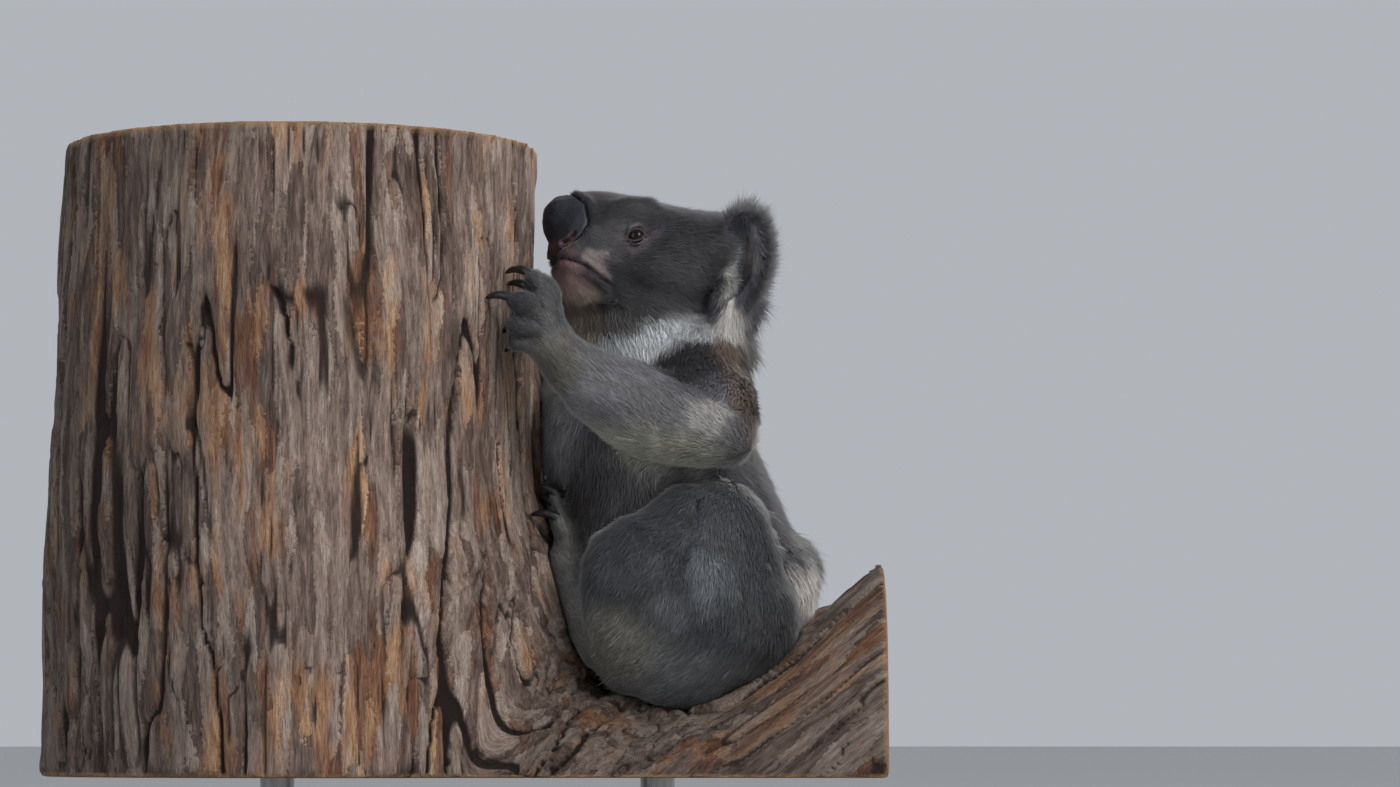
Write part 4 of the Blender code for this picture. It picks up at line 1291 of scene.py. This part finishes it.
def stepped(tree, value, low, high):
    """A share that goes smoothly from 0 where a value is low to 1 where it is high."""
    node = placed(tree, "ShaderNodeMapRange", interpolation_type="SMOOTHSTEP", From_Min=low, From_Max=high)
    fed(tree, node.inputs["Value"], value)
    return node.outputs["Result"]


def eyeball_finish():
    """Pupil, iris and the dark white of the eye, from where a point lies on the eyeball."""
    made, tree, shader = new_material("glass_eye")
    gaze = kept(tree, "gaze", "Vector")
    split = placed(tree, "ShaderNodeSeparateXYZ", Vector=gaze)
    squared = []
    for axis, reach in (("X", PUPIL[0]), ("Y", PUPIL[1])):
        size = worked(tree, "ABSOLUTE", worked(tree, "DIVIDE", split.outputs[axis], reach))
        squared.append(worked(tree, "POWER", size, 2.0))
    slit = stepped(tree, worked(tree, "ADD", *squared), 1.15, 0.85)
    threads = placed(tree, "ShaderNodeTexNoise", Vector=gaze, Scale=9.0, Detail=4.0)
    iris = ramped(tree, threads.outputs["Fac"], ((0.3, tint(14, 9, 8)), (0.75, tint(30, 19, 15))))
    iris_inside, iris_outside = (math.sqrt(1 - share**2) for share in (IRIS_SHARE - 0.05, IRIS_SHARE + 0.04))
    rim = stepped(tree, split.outputs["Z"], iris_inside, iris_outside)
    outer = mixed(tree, rim, iris, tint(18, 12, 11))
    fed(tree, shader.inputs["Base Color"], mixed(tree, slit, outer, (0.002, 0.002, 0.002)))
    shader.inputs["Roughness"].default_value = 0.07
    shader.inputs["Specular IOR Level"].default_value = 0.22
    return made


def rim_finish():
    made, tree, shader, spots = marked_material("lid_rim", 900.0, 0.5)
    bumped(tree, spots, shader, 0.0003)
    shader.inputs["Roughness"].default_value = 0.60
    return made


def grid_faces(rings, around):
    """Triangles of a strip of rings, each joined to the next and to itself."""
    ring, step = np.meshgrid(np.arange(rings - 1), np.arange(around), indexing="ij")
    ring, step = ring.ravel(), step.ravel()
    following = (step + 1) % around
    a, b = ring * around + step, ring * around + following
    return np.concatenate([np.stack([a, b, b + around], 1), np.stack([a, b + around, a + around], 1)])


def ball_mesh(name, side):
    """An eyeball with a raised cornea, in its own axes."""
    tilt = np.pi * (np.arange(1, EYE_RINGS) / EYE_RINGS)
    turn = 2 * np.pi * np.arange(EYE_ROUND) / EYE_ROUND
    tilts, turns = np.meshgrid(tilt, turn, indexing="ij")
    gaze = np.stack([np.sin(tilts) * np.cos(turns), np.sin(tilts) * np.sin(turns), np.cos(tilts)], 2)
    gaze = np.concatenate([gaze.reshape(-1, 3), [[0, 0, 1], [0, 0, -1]]])
    faces = [grid_faces(EYE_RINGS - 1, EYE_ROUND)]
    step = np.arange(EYE_ROUND)
    following = (step + 1) % EYE_ROUND
    front, back = len(gaze) - 2, len(gaze) - 1
    last = (EYE_RINGS - 2) * EYE_ROUND
    faces.append(np.stack([np.full(EYE_ROUND, front), following, step], 1))
    faces.append(np.stack([np.full(EYE_ROUND, back), last + step, last + following], 1))
    rise = CORNEA_RISE * smooth(gaze[:, 2], math.sqrt(1 - (IRIS_SHARE + 0.05) ** 2), 0.95)
    shape = gaze * (EYE_RADIUS + rise)[:, None]
    faces = np.concatenate(faces)
    if np.linalg.det(eye_axes[side]) > 0:
        faces = faces[:, ::-1]
    ball = shell(name, eye_middle[side] + shape @ eye_axes[side], faces)
    layer = ball.data.attributes.new("gaze", "FLOAT_VECTOR", "POINT")
    layer.data.foreach_set("vector", gaze.astype(np.float32).ravel())
    return ball


def rim_mesh(name, side):
    """The bare edge of the lids, a slim ring that lies on the eyeball round the opening."""
    turn = 2 * np.pi * np.arange(LID_AROUND) / LID_AROUND
    wide = LID_OPENING[0] * np.cos(turn)
    high = LID_OPENING[1] * np.sin(turn) * (1 - LID_PINCH * np.abs(np.cos(turn)) ** 6)
    x = wide * math.cos(LID_SLANT) - high * math.sin(LID_SLANT)
    y = wide * math.sin(LID_SLANT) + high * math.cos(LID_SLANT)
    corner = smooth(np.cos(turn), 0.86, 1.0)
    x = x + TEAR_CORNER * corner
    stands = EYE_RADIUS + LID_STANDS
    centre = np.stack([x, y, np.sqrt(np.maximum(stands**2 - x**2 - y**2, 1e-6))], 1)
    outward = unit(centre)
    ahead = unit(np.roll(centre, -1, 0) - np.roll(centre, 1, 0))
    sideways = np.cross(outward, ahead)
    spin = 2 * np.pi * np.arange(LID_ACROSS)[None, :, None] / LID_ACROSS
    section = 1.15 * np.cos(spin) * sideways[:, None] + np.sin(spin) * outward[:, None]
    thick = LID_RIM * (1 + 0.5 * corner)
    rings = centre[:, None] + thick[:, None, None] * section
    faces = grid_faces(LID_AROUND + 1, LID_ACROSS) % (LID_AROUND * LID_ACROSS)
    if np.linalg.det(eye_axes[side]) < 0:
        faces = faces[:, ::-1]
    ring = shell(name, eye_middle[side] + rings.reshape(-1, 3) @ eye_axes[side], faces)
    give_colour(ring, painted(LID_DARK, LID_PINK, np.repeat(corner, LID_ACROSS)))
    return ring


glass, lid_edge = eyeball_finish(), rim_finish()
for side in SIDES:
    ball = ball_mesh("glass_eye_" + side, side)
    ball.data.shade_smooth()
    ball.data.materials.append(glass)
    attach(ball, "root")
    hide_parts("eye_" + side)
    ring = rim_mesh("lid_rim_" + side, side)
    ring.data.shade_smooth()
    ring.data.materials.append(lid_edge)
    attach(ring, "root")


# ---------------------------------------------------------------- the claws
# Strong hooked horn, near black and mottled, on every digit but the first toe.

CLAW_FULLER = 0.0011  # the rounding below draws a claw in by about this much


def horn_finish():
    made, tree, shader = new_material("dark_horn")
    cloud = placed(tree, "ShaderNodeTexNoise", Vector=own_place(tree), Scale=260.0, Detail=4.0)
    colour = ramped(tree, cloud.outputs["Fac"], ((0.35, tint(14, 14, 16)), (0.75, tint(42, 38, 37))))
    fed(tree, shader.inputs["Base Color"], colour)
    bumped(tree, cloud.outputs["Fac"], shader, 0.0002)
    shader.inputs["Roughness"].default_value = 0.34
    return made


horn = horn_finish()
for name in sorted(solids):
    if part_of(name) != "claw":
        continue
    points, triangles = welded(name)
    points = points + normals_of(points, triangles) * CLAW_FULLER
    claw = shell(name.replace("claw", "horn"), points, triangles)
    claw.modifiers.new("round", "SUBSURF").levels = 2
    claw.modifiers["round"].render_levels = 2
    claw.data.shade_smooth()
    claw.data.materials.append(horn)
    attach(claw, "root")
    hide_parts(name)


# ---------------------------------------------------------------- the fork
# A length of living gum, trunk and limb, sawn off level below and above and plumb at the limb's
# end. The stringy bark runs in long plates parted by dark fissures, weathered grey over tan.

BARK_GRID = 0.0039
BARK_ROUNDS = 24
LIMB_RISE = math.radians(39)
LIMB_START = within("perch_fork", 0.60, 0.5, 0.25)
SAWN_MARGIN = 0.0035  # the bark ends this close to a sawn face
# the seams between plates: their length and width, and a seed; half width of floor and of lip; depth
FISSURE_SEAMS, FISSURE_WIDTH, FISSURE_DEPTH = (0.260, 0.019, 41), (0.0006, 0.0034), 0.0065
CRACK_SEAMS, CRACK_WIDTH, CRACK_DEPTH = (0.090, 0.0105, 42), (0.0003, 0.0026), 0.0032
SEAM_SHARPNESS = 0.16  # seams fade out where the field that they follow runs flatter than this
LARGE_FLAKE, SMALL_FLAKE = 0.0022, 0.0014  # how far flakes stand up
BROAD_SWELL, NARROW_SWELL = 0.0030, 0.0012  # how far the bark rolls between them
BARK_SINKS = 0.0012  # so that the flakes stand about the solid's own face
BARK_REACH = 0.014  # the bark swells to meet the animal where it lies closer than this
BARK_SWELL = 0.006  # and by no more than this
CLEAR_OF_FLESH = 0.0008
RING_WIDTH = 0.0042  # of a year's growth
LIMB_FLATNESS = 0.85  # the limb's rings are flatter than round

points, triangles = welded("perch_fork")
bark = melted(shell("fork_bark", points, triangles), BARK_GRID)
points, edges = points_of(bark), edges_of(bark)
low, high = (np.array(corner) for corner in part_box("perch_fork"))
sawn = np.maximum.reduce([
    1 - smooth(points[:, 2] - low[2], 0.0, SAWN_MARGIN),
    1 - smooth(high[2] - points[:, 2], 0.0, SAWN_MARGIN),
    1 - smooth(high[0] - points[:, 0], 0.0, SAWN_MARGIN),
])
for _ in range(BARK_ROUNDS):
    points = eased(points, edges, 0.5, sawn < 0.01)

limb_way = np.array((math.cos(LIMB_RISE), 0, math.sin(LIMB_RISE)))
limb_across = np.array((-math.sin(LIMB_RISE), 0, math.cos(LIMB_RISE)))
from_crotch = points - LIMB_START
on_limb = smooth(from_crotch @ unit((1, 0, -0.35)), -0.035, 0.055)[:, None]
trunk_grain = from_crotch[:, [2, 0, 1]]
limb_grain = np.stack([from_crotch @ limb_way, from_crotch @ limb_across, from_crotch[:, 1]], 1)
grain = trunk_grain * (1 - on_limb) + limb_grain * on_limb
stretched = grain / (2.2, 1, 1)
grain[:, 1] += 0.010 * noise(stretched, 0.09, 31) + 0.003 * noise(stretched, 0.03, 32)
grain[:, 2] += 0.010 * noise(stretched, 0.10, 33)


def strips(long, wide, seed):
    """Soft values that run in strips along the grain."""
    return noise(grain / (long, wide, wide), 1.0, seed)


def seams(long, wide, seed):
    """How far, in metres across the grain, each point lies from the nearest of a set of long seams."""
    scale = np.array((long, wide, wide))
    here = noise(grain / scale, 1.0, seed)
    slopes = [noise(grain / scale + step, 1.0, seed) - here for step in ((0, 0.1, 0), (0, 0, 0.1))]
    slope = np.hypot(*slopes) / (0.1 * wide)
    return np.abs(here) / np.maximum(slope, SEAM_SHARPNESS / wide)


fissure = 1 - smooth(seams(*FISSURE_SEAMS), *FISSURE_WIDTH)
fissure *= smooth(strips(0.120, 0.050, 43), -0.60, 0.05)
crack = 1 - smooth(seams(*CRACK_SEAMS), *CRACK_WIDTH)
crack *= smooth(strips(0.070, 0.030, 48), -0.5, 0.2)
flakes = LARGE_FLAKE * smooth(strips(0.130, 0.022, 44), 0.04, 0.12)
flakes += SMALL_FLAKE * smooth(strips(0.060, 0.012, 45), 0.05, 0.14)
swell = BROAD_SWELL * noise(points, 0.085, 46) + NARROW_SWELL * strips(0.05, 0.007, 47)
relief = swell + flakes - FISSURE_DEPTH * fissure - CRACK_DEPTH * crack - BARK_SINKS
flesh_points, flesh_triangles = joined([welded(name) for name in FLESH])
flesh_tree = BVHTree.FromPolygons(flesh_points.tolist(), flesh_triangles.tolist())
room = np.full(len(points), BARK_REACH)
beside = np.flatnonzero(points[:, 0] > 0.0)
found = [flesh_tree.find_nearest(point, BARK_REACH)[3] for point in points[beside].tolist()]
room[beside] = [BARK_REACH if gap is None else gap for gap in found]
closeness = 1 - smooth(room, 0.004, BARK_REACH)
relief = np.minimum(relief + closeness * np.minimum(room, BARK_SWELL), room - CLEAR_OF_FLESH)
set_points(bark, points)
in_triangles(bark)
points = points + normals_of(points, triangles_of(bark)) * (relief * (1 - sawn))[:, None]
set_points(bark, points)
# how far each point lies from the pith, and how dark the bark is there: darker on the limb, and towards the
# trunk's left from weathered bark and painted shade together
trunk_end = points[points[:, 2] > high[2] - 0.002].mean(0)
limb_end = points[points[:, 0] > high[0] - 0.002].mean(0)
from_pith = np.where(
    on_limb[:, 0] > 0.5,
    np.hypot(points[:, 1] - limb_end[1], (points[:, 2] - limb_end[2]) * LIMB_FLATNESS),
    np.hypot(points[:, 0] - trunk_end[0], points[:, 1] - trunk_end[1]),
)
from_pith += 0.004 * noise(points, 0.06, 51) + 0.0012 * noise(points, 0.02, 52)
# darker towards the trunk's left: partly weathered bark, partly painted shade
weather = 0.44 + 0.56 * smooth(points[:, 0] + 0.05 * noise(points, 0.12, 53), -0.30, -0.06)
weather = weather * (1 - 0.44 * on_limb[:, 0]) * (1 + 0.10 * noise(points, 0.05, 54))
bark_values = {
    "fissure": np.maximum(fissure, 0.75 * crack),
    "sawn": sawn,
    "growth": from_pith / RING_WIDTH,
    "weather": weather,
}
for label, values in bark_values.items():
    layer = bark.data.attributes.new(label, "FLOAT", "POINT")
    layer.data.foreach_set("value", values.astype(np.float32))
layer = bark.data.attributes.new("grain", "FLOAT_VECTOR", "POINT")
layer.data.foreach_set("vector", grain.astype(np.float32).ravel())


ON_PLACES = "ShaderNodeVectorMath"  # for sums worked on places


def streak_group():
    """Streaks that run along the grain: a value from 0 to 1."""
    group, given, out = shader_group(
        "streaks",
        (
            ("Grain", "NodeSocketVector", None),
            ("Long", "NodeSocketFloat", 12.0),
            ("Wide", "NodeSocketFloat", 90.0),
        ),
        (("Value", "NodeSocketFloat"),),
    )
    long, wide = given.outputs["Long"], given.outputs["Wide"]
    sizes = placed(group, "ShaderNodeCombineXYZ", X=long, Y=wide, Z=wide)
    drawn_out = worked(group, "MULTIPLY", given.outputs["Grain"], sizes.outputs[0], kind=ON_PLACES)
    cloud = placed(group, "ShaderNodeTexNoise", Scale=1.0, Detail=5.0, Roughness=0.62, Distortion=0.4)
    fed(group, cloud.inputs["Vector"], drawn_out)
    fed(group, out.inputs["Value"], cloud.outputs["Fac"])
    return group


streaks = streak_group()


def streaked(tree, grain, long, wide):
    """Places the streaks group, with so many streaks to the metre along and across the grain."""
    node = placed(tree, "ShaderNodeGroup", node_tree=streaks, Grain=grain, Long=long, Wide=wide)
    return node.outputs["Value"]


# colours of the wood, each with its place on a ramp of the streaks' values or of the rings
WEATHERED_BARK = (
    (0.24, tint(70, 56, 51)), (0.40, tint(116, 98, 90)),
    (0.55, tint(158, 139, 128)), (0.74, tint(196, 180, 168)),
)
TAN_BARK = (
    (0.24, tint(74, 48, 38)), (0.40, tint(132, 92, 70)),
    (0.55, tint(176, 134, 102)), (0.74, tint(208, 176, 144)),
)
FIBRES = ((0.34, (0.52, 0.50, 0.49)), (0.50, (0.95, 0.95, 0.95)), (0.68, (1.20, 1.20, 1.20)))
RINGS = ((0.0, tint(178, 140, 104)), (0.6, tint(190, 154, 118)), (1.0, tint(150, 110, 78)))
# painted shade on the floors of the fissures and cracks
FISSURE_SHADE = tint(40, 30, 27)
CHIPS_TO_A_METRE = (15.0, 110.0, 110.0)  # along the grain, and twice across it
CHIP_STRAY = (0.020, 0.0055, 0.0055)  # how far the chips' edges stray


def bark_finish():
    """Grey bark over tan, torn along its grain, with painted shade in its fissures and pale sawn faces."""
    made, tree, shader = new_material("gum_bark")
    grain = kept(tree, "grain", "Vector")
    broad = streaked(tree, grain, 7.0, 26.0)
    narrow = streaked(tree, grain, 30.0, 240.0)
    fibre = streaked(tree, grain, 110.0, 1500.0)
    # long chips of bark, each of one shade, with ragged edges
    ragged = placed(tree, "ShaderNodeTexNoise", Vector=grain, Scale=260.0, Detail=4.0).outputs["Color"]
    strayed = worked(tree, "MULTIPLY_ADD", ragged, CHIP_STRAY, grain, kind=ON_PLACES)
    chip_place = worked(tree, "MULTIPLY", strayed, CHIPS_TO_A_METRE, kind=ON_PLACES)
    chips = placed(tree, "ShaderNodeTexVoronoi", feature="F1", Vector=chip_place, Scale=1.0)
    chip = placed(tree, "ShaderNodeSeparateColor", Color=chips.outputs["Color"])
    red, green = chip.outputs["Red"], chip.outputs["Green"]
    value = placed(tree, "ShaderNodeMix", data_type="FLOAT", Factor=0.26, A=narrow, B=red)
    weathered = ramped(tree, value.outputs["Result"], WEATHERED_BARK)
    tan = ramped(tree, value.outputs["Result"], TAN_BARK)
    choice = placed(tree, "ShaderNodeMix", data_type="FLOAT", Factor=0.16, A=broad, B=green)
    colour = mixed(tree, stepped(tree, choice.outputs["Result"], 0.50, 0.64), weathered, tan)
    threads = ramped(tree, fibre, FIBRES)
    lit = placed(tree, "ShaderNodeMix", data_type="RGBA", blend_type="MULTIPLY", Factor=1.0)
    fed(tree, lit.inputs["A"], colour)
    fed(tree, lit.inputs["B"], threads)
    toned = scaled(tree, lit.outputs["Result"], kept(tree, "weather"))
    # painted shade: the fissures and cracks darkened towards their floors
    shaded = mixed(tree, stepped(tree, kept(tree, "fissure"), 0.35, 0.80), toned, FISSURE_SHADE)
    ring = worked(tree, "SINE", worked(tree, "MULTIPLY", kept(tree, "growth"), 2 * math.pi))
    whole = mixed(tree, kept(tree, "sawn"), shaded, ramped(tree, ring, RINGS))
    fed(tree, shader.inputs["Base Color"], whole)
    # the chips' edges stand up a little, and so do the streaks
    edges = placed(tree, "ShaderNodeTexVoronoi", feature="DISTANCE_TO_EDGE", Vector=chip_place, Scale=1.0)
    rise = placed(tree, "ShaderNodeMapRange", Value=edges.outputs["Distance"], From_Max=0.10)
    height = worked(tree, "MULTIPLY_ADD", narrow, 0.9, fibre)
    height = worked(tree, "MULTIPLY_ADD", rise.outputs["Result"], 0.35, height)
    bumped(tree, height, shader, 0.0024)
    shader.inputs["Roughness"].default_value = 0.88
    shader.inputs["Specular IOR Level"].default_value = 0.25
    return made


bark.data.shade_smooth()
bark.data.materials.clear()
bark.data.materials.append(bark_finish())
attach(bark, "root")
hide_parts("perch_fork")


# ---------------------------------------------------------------- the stand
# A board of dark stained wood with eased edges, and two steel rods that carry the fork, each
# held to the board by a round collar.

COLLAR_RADIUS = 0.024
COLLAR_HEIGHT = 0.006
COLLAR_BORE = 0.0142  # just clear of the rod
COLLAR_LIFT = 0.0003  # above the board
COLLAR_SIDES = 48
# the collar's section: radius, and height as a share of the whole
COLLAR_SECTION = (
    (COLLAR_BORE, 0.0), (COLLAR_RADIUS, 0.0), (COLLAR_RADIUS, 0.6),
    (0.90 * COLLAR_RADIUS, 0.92), (0.80 * COLLAR_RADIUS, 1.0), (COLLAR_BORE, 1.0),
)


def board_finish():
    made, tree, shader = new_material("stained_board")
    grain = streaked(tree, own_place(tree), 6.0, 120.0)
    colour = ramped(tree, grain, ((0.3, tint(34, 29, 27)), (0.7, tint(62, 52, 46))))
    fed(tree, shader.inputs["Base Color"], colour)
    bumped(tree, grain, shader, 0.0004)
    shader.inputs["Roughness"].default_value = 0.45
    return made


def steel_finish():
    made, tree, shader = new_material("brushed_steel")
    brushing = streaked(tree, own_place(tree), 900.0, 60.0)
    colour = ramped(tree, brushing, ((0.3, tint(150, 151, 154)), (0.7, tint(182, 183, 186))))
    fed(tree, shader.inputs["Base Color"], colour)
    bumped(tree, brushing, shader, 0.0001)
    shader.inputs["Metallic"].default_value = 1.0
    shader.inputs["Roughness"].default_value = 0.32
    return made


board, steel = board_finish(), steel_finish()
for name, finish in (("stand_base", board), ("stand_rod_1", steel), ("stand_rod_2", steel)):
    solids[name].data.materials.clear()
    solids[name].data.materials.append(finish)
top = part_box("stand_base")[1].z
turn = 2 * np.pi * np.arange(COLLAR_SIDES) / COLLAR_SIDES
for number in ("1", "2"):
    x, y, _ = middle("stand_rod_" + number)
    rings = np.array([
        (x + radius * math.cos(t), y + radius * math.sin(t), top + COLLAR_LIFT + share * COLLAR_HEIGHT)
        for radius, share in COLLAR_SECTION
        for t in turn
    ])
    faces = grid_faces(len(COLLAR_SECTION) + 1, COLLAR_SIDES) % len(rings)
    collar = shell("stand_collar_" + number, rings, faces)
    collar.data.shade_smooth()
    collar.data.set_sharp_from_angle(angle=math.radians(35))
    collar.data.materials.append(steel)
    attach(collar, "root")


# ---------------------------------------------------------------- the studio
# A plain pale floor, soft light from the front right, a fill, and a light behind for the rim.

FLOOR_RADIUS = 40.0
FLOOR_SIDES = 64


def floor_finish():
    made, tree, shader = new_material("pale_floor")
    shader.inputs["Base Color"].default_value = (0.60, 0.60, 0.60, 1)
    shader.inputs["Roughness"].default_value = 0.9
    return made


turn = 2 * np.pi * np.arange(FLOOR_SIDES) / FLOOR_SIDES
edge = np.stack([FLOOR_RADIUS * np.cos(turn), FLOOR_RADIUS * np.sin(turn), 0 * turn], 1)
fan = np.array([(FLOOR_SIDES, i, (i + 1) % FLOOR_SIDES) for i in range(FLOOR_SIDES)])
floor = shell("floor", np.concatenate([edge, [[0, 0, 0]]]), fan)
floor.data.materials.append(floor_finish())


def soft_light(name, place, target, size, power, colour):
    """A round lamp, so many metres across and of so many watts, turned to a target."""
    light = bpy.data.lights.new(name, "AREA")
    light.shape = "DISK"
    light.size = size
    light.energy = power
    light.color = colour
    lamp = bpy.data.objects.new(name, light)
    lamp.location = place
    lamp.rotation_mode = "QUATERNION"
    lamp.rotation_quaternion = (Vector(target) - Vector(place)).to_track_quat("-Z", "Y")
    bpy.context.scene.collection.objects.link(lamp)


soft_light("key", (1.6, -2.2, 2.0), (0.05, 0, 0.35), 1.6, 62, (1.0, 0.97, 0.93))
soft_light("fill", (-2.2, -2.0, 1.2), (0.05, 0, 0.35), 2.2, 22, (0.92, 0.96, 1.0))
soft_light("rim", (1.3, 1.9, 2.2), (0.2, 0, 0.35), 1.0, 46, (1.0, 0.98, 0.95))

world = bpy.data.worlds.new("studio")
world.use_nodes = True
world.node_tree.nodes["Background"].inputs["Color"].default_value = (0.80, 0.84, 0.90, 1)
world.node_tree.nodes["Background"].inputs["Strength"].default_value = 0.55
bpy.context.scene.world = world
bpy.context.scene.view_settings.view_transform = "Standard"

CAMERA_DISTANCE = 4.0
CAMERA_RISE = math.radians(-4)
FRAME_WIDTH = 1.148  # metres across the picture at the koala
CAMERA_TARGET = Vector((0.1947, 0, 0.3854))
camera_data = bpy.data.cameras.new("camera")
camera_data.sensor_width = 36
camera_data.lens = camera_data.sensor_width * CAMERA_DISTANCE / FRAME_WIDTH
camera = bpy.data.objects.new("camera", camera_data)
away = Vector((0, -math.cos(CAMERA_RISE), math.sin(CAMERA_RISE)))
camera.location = CAMERA_TARGET + away * CAMERA_DISTANCE
camera.rotation_mode = "QUATERNION"
camera.rotation_quaternion = (-away).to_track_quat("-Z", "Y")
bpy.context.scene.collection.objects.link(camera)
bpy.context.scene.camera = camera
